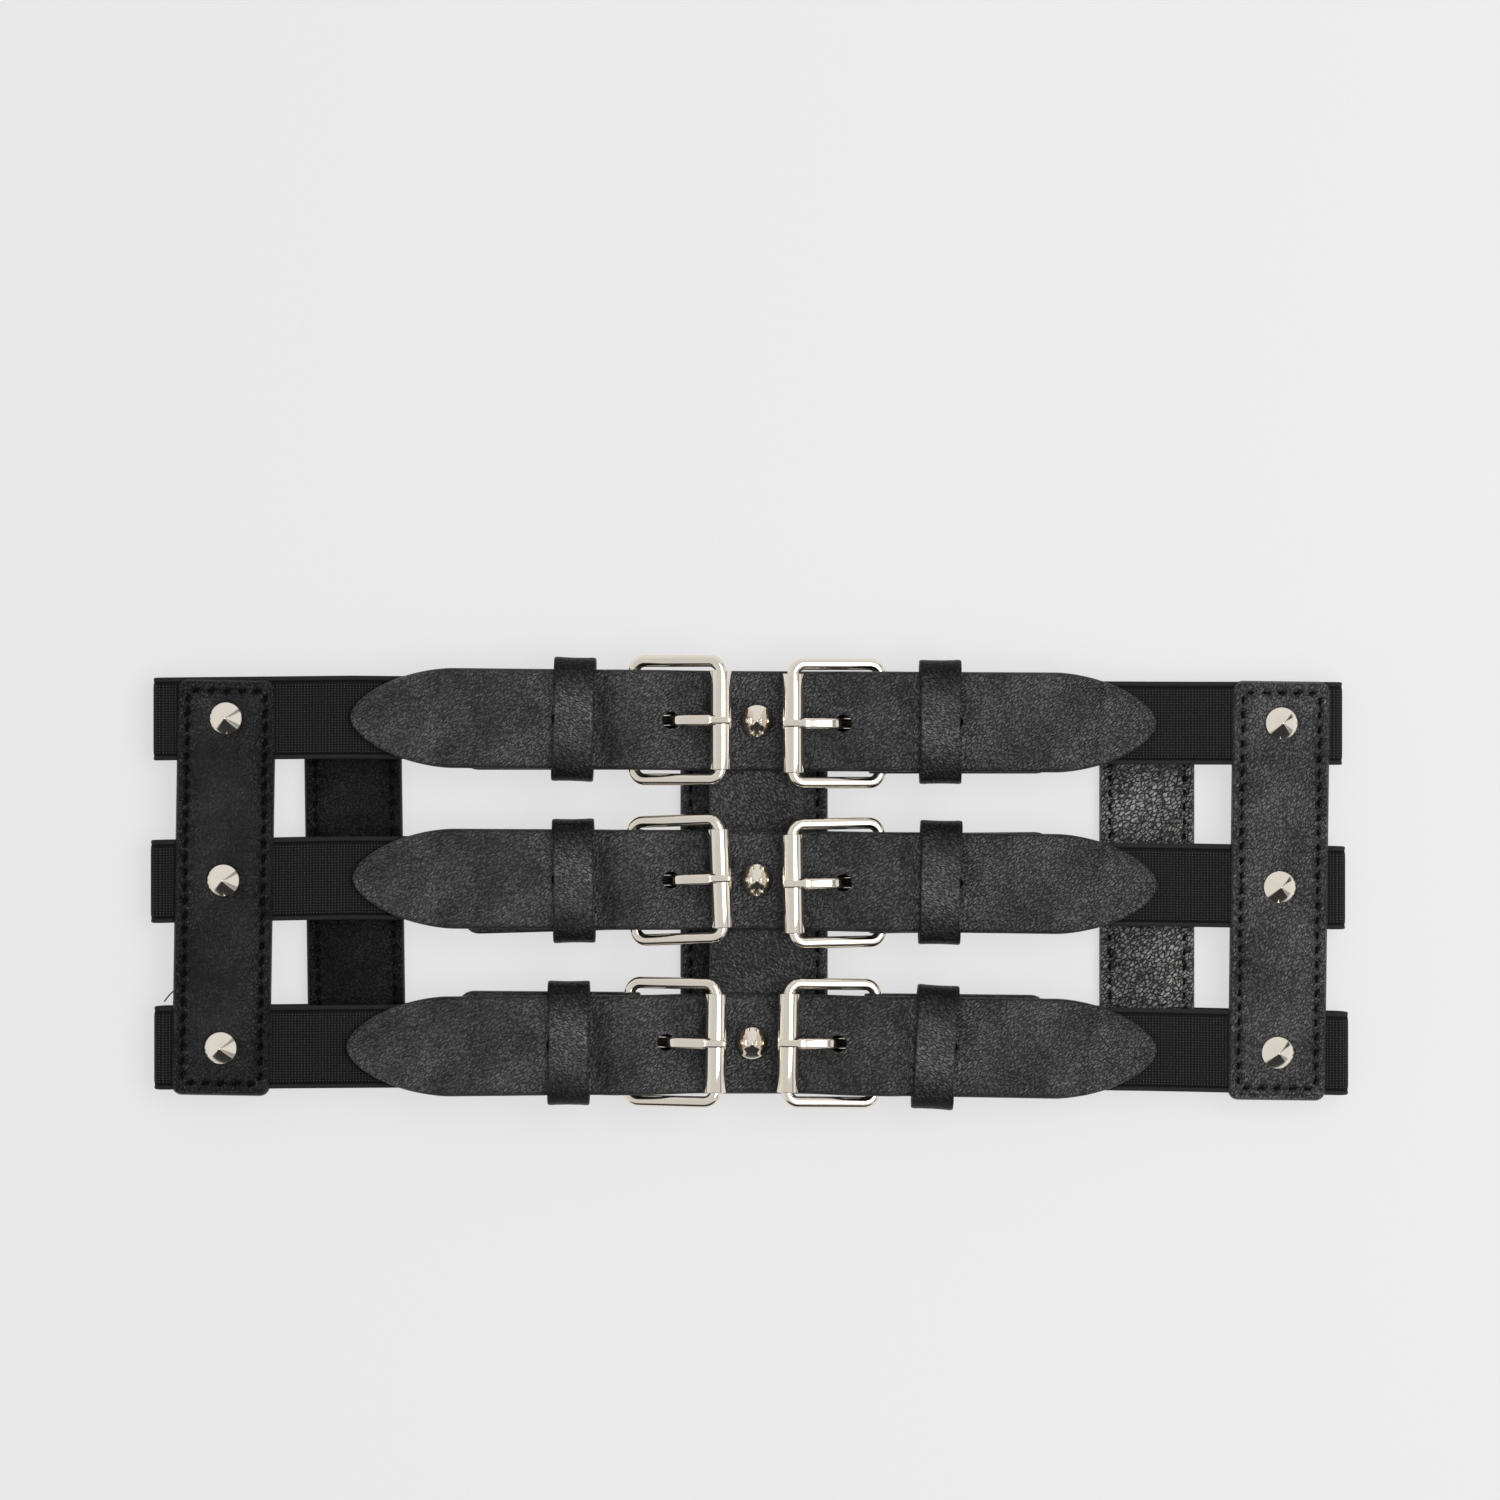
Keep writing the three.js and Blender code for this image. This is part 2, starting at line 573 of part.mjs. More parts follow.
// A cone stud whose shank grips leather of a given thickness.
function stud(grip) {
  const { radius, height, rim, apexRadius, shankRadius, headRadius, headThick } = STUD;
  const under = -REST_GAP;
  const over = grip + REST_GAP;
  return turned(
    [
      [0, under - headThick],
      [headRadius, under - headThick],
      [headRadius, under],
      [shankRadius, under],
      [shankRadius, over],
      [radius, over],
      [radius, over + rim],
      [apexRadius, over + height],
      [0, over + height],
    ],
    STUD_SEGMENTS,
  );
}

function studBore(x, y, level) {
  return post(x, y, level - 1, level + OVER_PANEL + STRAP_THICK + 1, STUD.shankRadius + FIT_GAP, BORE_SEGMENTS);
}

// Where a row's stud sits on a front side panel.
function sideStudPlace(row, side) {
  const { left, right } = { left: SIDE_PANELS[0], right: SIDE_PANELS[1] };
  const host = side.sign < 0 ? left : right;
  const y = row.y + drift(row, host.x);
  return [host.x - (y - host.y) * Math.tan(THREE.MathUtils.degToRad(host.turn)), y];
}

function sideStudBore(row, side) {
  const [x, y] = sideStudPlace(row, side);
  return post(x, y, SIDE_LEVEL - 1, SIDE_LEVEL + PANEL_THICK + 1, STUD.shankRadius + FIT_GAP, BORE_SEGMENTS);
}

// A closure snap gripping both closure panels, with its cap on the floor.
function snap() {
  const { capRadius, headRadius, shankRadius, segments } = SNAP;
  const over = CLOSURE_PANELS[1].level + CLOSURE_THICK + REST_GAP;
  return turned(
    [
      [0, 0],
      [capRadius, 0],
      [capRadius, SNAP_CAP],
      [shankRadius, SNAP_CAP],
      [shankRadius, over],
      [headRadius, over],
      [headRadius, over + SNAP_CAP],
      [0, over + SNAP_CAP],
    ],
    segments,
  );
}

// Rows of straps, studs, buckles, tabs, keepers and elastic
ROWS.forEach((row) => {
  const settlings = Object.fromEntries(
    SIDES.map((side) => [side.name, SETTLING.find(({ unit }) => unit === `${row.name}_${side.name}`)]),
  );
  add(`strap_${row.name}`, rowStrap(row, settlings), BLACK_LEATHER);
  add(`middle_stud_${row.name}`, moved(stud(OVER_PANEL + STRAP_THICK), row.x, row.y, FRONT_LEVEL), NICKEL);
  SIDES.forEach((side) => {
    const unit = `${row.name}_${side.name}`;
    const { buckleTurn, play, tabTurn, keeperTurn, keeperPlay } = settlings[side.name];
    const onBuckle = (solid) => seated(solid, row, side, (HEEL_AT + ROLLER_AT) / 2, buckleTurn, play);
    add(`buckle_frame_${unit}`, onBuckle(buckleFrame()), NICKEL);
    add(`roller_${unit}`, onBuckle(roller()), NICKEL);
    add(`prong_${unit}`, onBuckle(prong()), NICKEL);
    add(`tab_${unit}`, seated(tab(), row, side, HEEL_AT, tabTurn, play), BLACK_LEATHER);
    add(`keeper_${unit}`, seated(keeper(), row, side, KEEPER_AT, keeperTurn, keeperPlay), BLACK_LEATHER);
    const bore = sideStudBore(row, side);
    add(`elastic_${unit}`, elastic(row, side).subtract(bore), BLACK_ELASTIC);
    add(`side_stud_${unit}`, moved(stud(PANEL_THICK), ...sideStudPlace(row, side), SIDE_LEVEL), NICKEL);
  });
});

// Middle panel, side panels with their tunnels for the elastic, and the closure
add("middle_panel", middlePanel(), BLACK_LEATHER);
SIDE_PANELS.forEach(({ name, x, y, wider, height, turn }) => {
  const atFront = name.startsWith("front");
  const width = PANEL_WIDTH + wider;
  const body = moved(panel(width, height, PANEL_THICK).rotate([0, 0, turn]), x, y, atFront ? SIDE_LEVEL : 0);
  const elasticHeight = atFront ? SIDE_LEVEL + ELASTIC_MIDDLE : BACK_ELASTIC_MIDDLE;
  const tunnels = ROWS.map((row) => tunnel(row, x - width, x + width, elasticHeight));
  const bores = atFront ? ROWS.map((row) => sideStudBore(row, SIDES[x < 0 ? 0 : 1])) : [];
  add(name, [...tunnels, ...bores].reduce((solid, cutter) => solid.subtract(cutter), body), BLACK_LEATHER);
});
const snapPlaces = ROWS.map((row) => [SNAP.x, row.y]);
CLOSURE_PANELS.forEach(({ name, x, sign, level }) => {
  const body = moved(panel(CLOSURE_WIDTH, BACK_HEIGHT, CLOSURE_THICK), x, 0, level);
  const bores = snapPlaces.map(([snapX, snapY]) =>
    post(snapX, snapY, 0, FRONT_LEVEL, SNAP.shankRadius + FIT_GAP, BORE_SEGMENTS),
  );
  const ends = [sign * (BACK_END - FIT_GAP), sign * 3 * CLOSURE_WIDTH].sort((a, b) => a - b);
  const tunnels = ROWS.map((row) => tunnel(row, ...ends, level + CLOSURE_THICK / 2));
  add(name, [...tunnels, ...bores].reduce((solid, cutter) => solid.subtract(cutter), body), BLACK_LEATHER);
});
snapPlaces.forEach(([x, y], i) => add(`closure_snap_${ROWS[i].name}`, moved(snap(), x, y, 0), NICKEL));

// The part's origin is at the bottom centre of its bounding box
const bounds = new THREE.Box3().setFromObject(group);
const centre = bounds.getCenter(new THREE.Vector3());
group.children.forEach((mesh) => mesh.geometry.translate(-centre.x, -centre.y, -bounds.min.z));

export default group;
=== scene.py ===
# Looks of a corset belt: three buckled leather straps on elastic bands, lying flat with the front uppermost.
# Shapes are drawn in millimetres on the belt's own axes and made in metres. +X runs along the straps, +Y up the belt.
import math

import bmesh
import bpy
import numpy as np
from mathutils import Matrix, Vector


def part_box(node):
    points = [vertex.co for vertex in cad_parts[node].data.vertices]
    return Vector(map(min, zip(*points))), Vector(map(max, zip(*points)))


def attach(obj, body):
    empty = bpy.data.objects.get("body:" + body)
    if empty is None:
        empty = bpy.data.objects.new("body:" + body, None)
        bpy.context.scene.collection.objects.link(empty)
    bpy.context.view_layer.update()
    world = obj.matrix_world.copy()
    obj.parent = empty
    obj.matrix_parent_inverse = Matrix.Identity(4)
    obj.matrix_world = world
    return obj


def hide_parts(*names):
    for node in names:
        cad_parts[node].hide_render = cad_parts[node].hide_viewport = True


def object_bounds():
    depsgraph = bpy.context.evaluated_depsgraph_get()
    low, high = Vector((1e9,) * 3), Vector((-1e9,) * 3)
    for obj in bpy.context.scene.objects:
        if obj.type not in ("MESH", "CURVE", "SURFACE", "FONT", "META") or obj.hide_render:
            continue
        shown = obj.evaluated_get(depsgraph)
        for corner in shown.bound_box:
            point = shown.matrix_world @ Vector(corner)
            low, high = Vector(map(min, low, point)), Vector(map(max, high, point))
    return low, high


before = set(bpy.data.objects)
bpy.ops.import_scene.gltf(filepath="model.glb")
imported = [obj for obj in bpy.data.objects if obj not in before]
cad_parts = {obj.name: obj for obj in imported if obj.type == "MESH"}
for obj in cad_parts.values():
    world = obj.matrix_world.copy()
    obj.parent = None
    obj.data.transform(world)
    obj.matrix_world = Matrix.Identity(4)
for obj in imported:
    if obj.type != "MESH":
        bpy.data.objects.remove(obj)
cad_low, cad_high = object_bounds()

MM = 0.001

# Gaps between neighbours
REST_GAP = 0.15
FIT_GAP = 0.3

# Leather and elastic stock
STRAP_WIDTH = 25
STRAP_THICK = 2
TIP_LENGTH = 25.5
TIP_FULLNESS = 1.72
PLY_THICK = 1
ELASTIC_WIDTH = 20.8
ELASTIC_THICK = 1.2
SELVEDGE = 1.35

# Heights of the front layer's underside over the floor: under the buckles and at the side panels
FRONT_LEVEL = 9
SIDE_LEVEL = 7.4
RAMP_START = 77
RAMP_END = 117

# Panels
MIDDLE_PANEL = {"width": 23.5, "bulge": 0.5, "height": 105.5, "thick": 1.5, "corner": 3, "x": 1.75, "y": 0.25}
PANEL_THICK = 3.5
PANEL_CORNER = 2.6
CLOSURE_THICK = 2.7
SNAP_CAP = 0.65
CLOSURE_LEVELS = {"left": SNAP_CAP + REST_GAP, "right": SNAP_CAP + 2 * REST_GAP + CLOSURE_THICK}
SNAP = {"x": 1, "cap": 5, "head": 3.6, "shank": 1.8}

# Stitching: the distance between stitches and how far the line lies from the edge
STITCH_PITCH = 3.7
STITCH_LENGTH = 2.3
THREAD_RADIUS = 0.34
LOOSE_THREAD = [(-11.6, -25.6, 0.9), (-12.4, -26.3, 1.3), (-13.2, -27.1, 1.5), (-14, -28.1, 1.2), (-14.6, -28.9, 0.9)]

# Cone studs
STUD = {"radius": 4.05, "height": 4, "rim": 0.4, "apex": 0.25, "shank": 1.2, "head": 2.6, "head_thick": 0.5}

# Buckles, as distances out from the row's middle stud
ROLLER_AT = 9
HEEL_AT = 30.8
WIRE_RADIUS = 1.5
FRAME_SPAN = 29.6
FRAME_CORNER = 2.8
ROLLER = {"radius": 2.675, "length": 24.7, "bore": 1.75}
PRONG = {"width": 2.8, "tip_width": 1.9, "thick": 1.8, "tip_thick": 1.1, "tip_at": 6.5, "eye": 2.5, "shoulder": 11.6}
PRONG_LIFT = 0.4
PRONG_DIP = {"deep": 1.7, "from": 18.8, "over": 3.6, "back": 29.2}
PRONG_HOLE = {"at": 21.5, "radius": 2.15}
SPARE_HOLE = {"at": 49.6, "radius": 1.75}

# Buckle tabs and keepers
TAB_END = 73.75
TAB_CORNER = 4
FOLD_GAP = 0.35
PRONG_SLOT = {"width": 4.6, "from": 26, "to": 34.4}
KEEPER_AT = 45.8
KEEPER = {"width": 10.5, "waist": 9.7, "height": 31, "wall": 1.2, "corner": 3.4}

# Creases across the right tips: place out, depth and slant
CREASES = [(84, 0.4, 0.12), (78.5, 0.18, -0.2), (91, 0.2, 0.3)]

# Heights over the front layer's underside
HEEL_HEIGHT = PLY_THICK + FOLD_GAP + WIRE_RADIUS
OVER_PANEL = MIDDLE_PANEL["thick"] + REST_GAP
OVER_HEEL = 2 * HEEL_HEIGHT + REST_GAP
ELASTIC_MIDDLE = PLY_THICK + REST_GAP + ELASTIC_THICK / 2
UPPER_PLY = ELASTIC_MIDDLE + ELASTIC_THICK / 2 + REST_GAP
OVER_TAB = UPPER_PLY + PLY_THICK + REST_GAP
OVER_ELASTIC = UPPER_PLY
ROLLER_HEIGHT = OVER_PANEL + STRAP_THICK + REST_GAP + ROLLER["radius"]
PRONG_TIP_HEIGHT = ROLLER_HEIGHT + ROLLER["radius"] + PRONG_LIFT + PRONG["thick"] / 2
PRONG_SLOPE = (PRONG_TIP_HEIGHT - HEEL_HEIGHT) / (HEEL_AT - ROLLER_AT)

# How the strap's underside climbs on its way out from the middle stud, as pairs of place and height
STRAP_CLIMB = [
    (0, OVER_PANEL), (12.5, OVER_PANEL), (28, OVER_HEEL), (34, OVER_HEEL),
    (39.5, OVER_TAB), (74.5, OVER_TAB), (81, OVER_ELASTIC), (110, OVER_ELASTIC),
]

# Elastic: its height on the floor side, the depth of its fold and where its ends lie
BACK_ELASTIC_MIDDLE = PANEL_THICK / 2
FOLD_REACH = 2.4
BACK_END = 13
ELASTIC_SETBACK = 7.5

# Rows from the top down, with the drifts up the belt and the distances out from the stud on each side
ROWS = [
    {"name": "top", "x": 1.75, "y": 40.75, "tip_drift": (1, -0.5), "fold_drift": (0.5, -0.6),
     "tip": (101.75, 100), "fold": (151.6, 147)},
    {"name": "middle", "x": 1.75, "y": 1, "tip_drift": (0.5, -1.25), "fold_drift": (-0.5, -2.1),
     "tip": (101.25, 100.25), "fold": (152.25, 147.75)},
    {"name": "bottom", "x": 0.5, "y": -39.75, "tip_drift": (-1, -1.75), "fold_drift": (-1.5, -2.9),
     "tip": (101.5, 101.25), "fold": (150.15, 149.75)},
]
DRIFT_TIP_AT = 100
DRIFT_FOLD_AT = 150

# How each buckle, tab and keeper has settled: buckle turn, play, tab turn, keeper turn, keeper play
SETTLING = {
    "top_left": (0, 0, 0, -1.6, 0),
    "top_right": (0, -0.5, 0, 0, 0),
    "middle_left": (2.2, 0, 1.6, 0.7, -0.4),
    "middle_right": (1, -0.4, 0.4, -1.1, 0),
    "bottom_left": (-0.8, 0.5, -0.4, -0.2, 0.5),
    "bottom_right": (-1, 0.4, -0.6, -3.2, -0.2),
}
SIDES = [
    {"name": "left", "index": 0, "sign": -1, "turn": 180},
    {"name": "right", "index": 1, "sign": 1, "turn": 0},
]

# The front panels carry the studs
FRONT_PANELS = {
    "left": {"x": -131.8, "y": -0.9, "width": 24.6, "height": 104.3, "turn": -0.9},
    "right": {"x": 132.5, "y": -1.75, "width": 24.4, "height": 105, "turn": -0.7},
}
BACK_PANELS = {
    "left": {"x": -99.6, "y": 0, "width": 24.6, "height": 101, "turn": 0.8},
    "right": {"x": 100, "y": -1, "width": 24, "height": 101, "turn": 0},
}
CLOSURE_PANELS = {
    "left": {"x": -5.25, "y": 0, "width": 24.6, "height": 101, "turn": 0},
    "right": {"x": 7.25, "y": 0, "width": 24.6, "height": 101, "turn": 0},
}

# Floor's own glow, as of a lit table, and the soft key's size and brightness
FLOOR_GLOW = 0.62
KEY = {"place": (600, 60, 1000), "wide": 0.8, "tall": 1, "power": 9}

# Picture: its width at the belt's front, its middle on the belt, and the lens
PICTURE_WIDTH = 375
PICTURE_MIDDLE = (0, 33.5)
PICTURE_LEVEL = 12
LENS = 120
SENSOR = 36

# The belt's own axes meet the frame where the top middle stud says
stud_low, stud_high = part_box("middle_stud_top")
ORIGIN = np.array([
    (stud_low.x + stud_high.x) / 2 - ROWS[0]["x"] * MM,
    (stud_low.y + stud_high.y) / 2 - ROWS[0]["y"] * MM,
    cad_low.z,
])


def in_metres(points):
    return np.asarray(points, float) * MM + ORIGIN


# Camera straight above, seeing the belt below the middle of the picture
camera_data = bpy.data.cameras.new("camera")
camera_data.lens = LENS
camera_data.sensor_width = SENSOR
camera = bpy.data.objects.new("camera", camera_data)
camera.location = in_metres([*PICTURE_MIDDLE, PICTURE_LEVEL + PICTURE_WIDTH * LENS / SENSOR])
bpy.context.scene.collection.objects.link(camera)
bpy.context.scene.camera = camera


def smooth(share):
    share = np.clip(share, 0, 1)
    return share * share * (3 - 2 * share)


def climb(table, out):
    """A smooth climb through pairs of place and height."""
    places, heights = np.array(table, float).T
    out = np.clip(out, places[0], places[-1])
    index = np.clip(np.searchsorted(places, out), 1, len(places) - 1)
    share = (out - places[index - 1]) / (places[index] - places[index - 1])
    return heights[index - 1] + (heights[index] - heights[index - 1]) * smooth(share)


def front_level(x):
    return FRONT_LEVEL + (SIDE_LEVEL - FRONT_LEVEL) * smooth((np.abs(x) - RAMP_START) / (RAMP_END - RAMP_START))


def drift(row, x):
    """How far a row has wandered up the belt at a place along it."""
    x = np.asarray(x, float)
    out = np.abs(x)
    tip = np.where(x < 0, *row["tip_drift"])
    fold = np.where(x < 0, *row["fold_drift"])
    beyond = (out - DRIFT_TIP_AT) / (DRIFT_FOLD_AT - DRIFT_TIP_AT)
    return np.where(out < DRIFT_TIP_AT, tip * out / DRIFT_TIP_AT, tip + (fold - tip) * beyond)


def gauss(distance, spread):
    return np.exp(-((distance / spread) ** 2))


def turned(points, degrees):
    """Points turned about Z."""
    angle = math.radians(degrees)
    matrix = np.array([[math.cos(angle), -math.sin(angle), 0], [math.sin(angle), math.cos(angle), 0], [0, 0, 1]])
    return np.asarray(points, float) @ matrix.T


def seated(points, row, side, pivot, turn, play):
    """Seats points drawn outward along +X from a row's stud, turning about a pivot on its side of the row."""
    x = row["x"] + side["sign"] * pivot
    place = np.array([x, row["y"] + float(drift(row, x)) + play, FRONT_LEVEL])
    return turned(np.asarray(points, float) - [pivot, 0, 0], side["turn"] + turn) + place


class Form:
    """Sheets of quads gathered into one mesh, with the place along and across the stock at each corner."""

    def __init__(self):
        self.points = []
        self.faces = []
        self.corners = []
        self.kinds = []
        self.count = 0

    def add(self, points, along, across, kind=0, closed=False, ring=False, capped=False):
        """Adds a sheet of points. It closes across where closed, closes along where ring, and has end faces."""
        rows, columns = points.shape[:2]
        index = np.arange(rows * columns).reshape(rows, columns) + self.count
        if closed:
            index = np.concatenate([index, index[:, :1]], axis=1)
        if ring:
            index = np.concatenate([index, index[:1]], axis=0)
        shape = index.shape
        places = np.stack([np.broadcast_to(along, shape), np.broadcast_to(across, shape)], axis=-1)
        around = [(slice(None, -1), slice(None, -1)), (slice(1, None), slice(None, -1)),
                  (slice(1, None), slice(1, None)), (slice(None, -1), slice(1, None))]
        quads = np.stack([index[part] for part in around], axis=-1).reshape(-1, 4)
        corners = np.stack([places[part] for part in around], axis=-2).reshape(-1, 2)
        self.points.append(points.reshape(-1, 3))
        self.faces.extend(quads.tolist())
        self.corners.append(corners)
        self.kinds.extend([kind] * len(quads))
        if capped:
            for end, turned_over in ((0, False), (-1, True)):
                face = index[end, :columns].tolist()
                spots = places[end, :columns]
                self.faces.append(face[::-1] if turned_over else face)
                self.corners.append(spots[::-1] if turned_over else spots)
                self.kinds.append(kind)
        self.count += rows * columns

    def move(self, change):
        """Changes every point so far with a function."""
        self.points = [change(points) for points in self.points]

    def build(self, name, materials):
        mesh = bpy.data.meshes.new(name)
        mesh.from_pydata(in_metres(np.concatenate(self.points)), [], self.faces)
        layer = mesh.uv_layers.new(name="stock")
        layer.data.foreach_set("uv", np.concatenate(self.corners).astype(np.float32).ravel())
        for material in materials:
            mesh.materials.append(material)
        mesh.polygons.foreach_set("material_index", self.kinds)
        outward = bmesh.new()
        outward.from_mesh(mesh)
        bmesh.ops.recalc_face_normals(outward, faces=outward.faces)
        outward.to_mesh(mesh)
        outward.free()
        made = bpy.data.objects.new(name, mesh)
        bpy.context.scene.collection.objects.link(made)
        return made


def cut(made, cutter_form):
    """Takes the cutter's shape out of a piece."""
    cutter = cutter_form.build("cutter", [])
    modifier = made.modifiers.new("cut", "BOOLEAN")
    modifier.operation = "DIFFERENCE"
    modifier.solver = "MANIFOLD"
    modifier.object = cutter
    graph = bpy.context.evaluated_depsgraph_get()
    whole = made.data
    made.data = bpy.data.meshes.new_from_object(made.evaluated_get(graph))
    made.modifiers.clear()
    bpy.data.meshes.remove(whole)
    bpy.data.objects.remove(cutter)


def settle(made, slot, node, crease=40):
    """Shades a finished piece, hangs it on the belt and lets it stand for its CAD node."""
    made.name = f"{node}_{slot}"
    made.data.shade_smooth()
    made.data.set_sharp_from_angle(angle=math.radians(crease))
    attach(made, "root")
    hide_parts(node)


def strip_section(half, thick, rim, flats, under_flats, squareness=2.6, steps=5):
    """Places across, heights and stock places of a band's closed cross-section, one row for each station."""
    half = np.asarray(half, float)[:, None]
    thick = np.asarray(thick, float)[:, None]
    rim = np.minimum(rim, half)
    angle = np.linspace(0, math.pi / 2, steps + 1)
    edge_in = rim * (1 - np.cos(angle) ** (2 / squareness))
    edge_up = thick / 2 * np.sin(angle) ** (2 / squareness)
    arc = rim * np.linspace(0, 1, steps + 1) + thick / 2 * np.linspace(0, 1, steps + 1)
    flat = np.linspace(1, -1, flats + 1)[1:-1]
    under = np.linspace(-1, 1, under_flats + 1)[1:-1]
    inner = half - rim
    ones = np.ones_like(half)
    over_y = [half - edge_in, inner * flat, -(half - edge_in)[:, ::-1]]
    over_z = [edge_up, thick / 2 * ones * np.ones_like(flat), edge_up[:, ::-1]]
    under_y = [-(half - edge_in)[:, 1:], inner * under, (half - edge_in)[:, :0:-1]]
    under_z = [-edge_up[:, 1:], -thick / 2 * ones * np.ones_like(under), -edge_up[:, :0:-1]]
    total = arc[:, -1:]
    over_v = [inner + total - arc, inner * flat, -(inner + total - arc)[:, ::-1]]
    wide = inner + 2 * total
    under_v = [-(inner + total + arc)[:, 1:], wide * under, (inner + total + arc)[:, :0:-1]]
    y = np.concatenate(over_y + under_y, axis=1)
    z = np.concatenate(over_z + under_z, axis=1)
    v = np.concatenate(over_v + under_v + [over_v[0][:, :1]], axis=1)
    return y, z, v


def add_strip(form, centres, across, up, half, thick, rim, flats, under_flats,
              lift=None, kind=0, ring=False, capped=True, squareness=2.6):
    """A band of stock along a line of middle points. Its lift moves the whole thickness, by place along and across."""
    centres = np.asarray(centres, float)
    count = len(centres)
    half = np.broadcast_to(half, count)
    thick = np.broadcast_to(thick, count)
    across = np.broadcast_to(across, (count, 3))
    up = np.broadcast_to(up, (count, 3))
    y, z, v = strip_section(half, thick, rim, flats, under_flats, squareness)
    steps = np.linalg.norm(np.diff(centres, axis=0), axis=1)
    along = np.concatenate([[0], np.cumsum(steps)])
    if lift is not None:
        z = z + lift(along[:, None], y)
    points = centres[:, None] + across[:, None] * y[..., None] + up[:, None] * z[..., None]
    if ring:
        closing = np.linalg.norm(centres[0] - centres[-1])
        along = np.append(along, along[-1] + closing)
        v = np.concatenate([v, v[:1]], axis=0)
    form.add(points, along[:, None], v, kind=kind, closed=True, ring=ring, capped=capped and not ring)


def uprights(line):
    """Unit vectors at right angles to a line in X and Z, on its left as it runs."""
    run = np.gradient(np.asarray(line, float), axis=0)
    up = np.stack([-run[:, 2], np.zeros(len(run)), run[:, 0]], axis=1)
    return up / np.linalg.norm(up, axis=1, keepdims=True)


def add_round(form, pairs, segments=64, kind=0, place=(0, 0, 0)):
    """A turned shape about Z from pairs of radius and height."""
    pairs = np.array(pairs, float)
    angle = np.linspace(0, 2 * math.pi, segments, endpoint=False)
    rings = np.stack([
        pairs[:, 0, None] * np.cos(angle),
        pairs[:, 0, None] * np.sin(angle),
        np.broadcast_to(pairs[:, 1, None], (len(pairs), segments)),
    ], axis=-1)
    lengths = np.concatenate([[0], np.cumsum(np.linalg.norm(np.diff(pairs, axis=0), axis=1))])
    across = np.linspace(0, 2 * math.pi * pairs[:, 0].max(), segments + 1)
    form.add(rings + np.array(place), lengths[:, None], across[None, :], kind=kind, closed=True, capped=True)


def add_tube(form, line, radius, segments=10, kind=0, ring=False):
    """A round wire or thread along a line."""
    line = np.asarray(line, float)
    if ring:
        run = np.roll(line, -1, axis=0) - np.roll(line, 1, axis=0)
    else:
        run = np.gradient(line, axis=0)
    run /= np.linalg.norm(run, axis=1, keepdims=True)
    radius = np.broadcast_to(radius, len(line))
    start = np.array([0, 0, 1.0]) if abs(run[0, 2]) < 0.9 else np.array([1.0, 0, 0])
    sides = []
    side = start - run[0] * (start @ run[0])
    for direction in run:
        side = side - direction * (side @ direction)
        side = side / np.linalg.norm(side)
        sides.append(side)
    sides = np.array(sides)
    others = np.cross(run, sides)
    angle = np.linspace(0, 2 * math.pi, segments, endpoint=False)
    rings = line[:, None] + radius[:, None, None] * (
        sides[:, None] * np.cos(angle)[None, :, None] + others[:, None] * np.sin(angle)[None, :, None]
    )
    along = np.concatenate([[0], np.cumsum(np.linalg.norm(np.diff(line, axis=0), axis=1))])
    if ring:
        along = np.append(along, along[-1] + np.linalg.norm(line[0] - line[-1]))
    across = np.linspace(0, 2 * math.pi * radius.max(), segments + 1)
    form.add(rings, along[:, None], across[None, :], kind=kind, closed=True, ring=ring, capped=not ring)


def add_box(form, low, high):
    """A plain block for cutting."""
    (x0, y0, z0), (x1, y1, z1) = low, high
    ring = [(y0, z0), (y1, z0), (y1, z1), (y0, z1)]
    points = np.array([[(x, y, z) for y, z in ring] for x in (x0, x1)], float)
    form.add(points, np.array([[0], [1]]), np.arange(5)[None, :], closed=True, capped=True)


# Materials
INK = (0.0025, 0.0025, 0.0028)


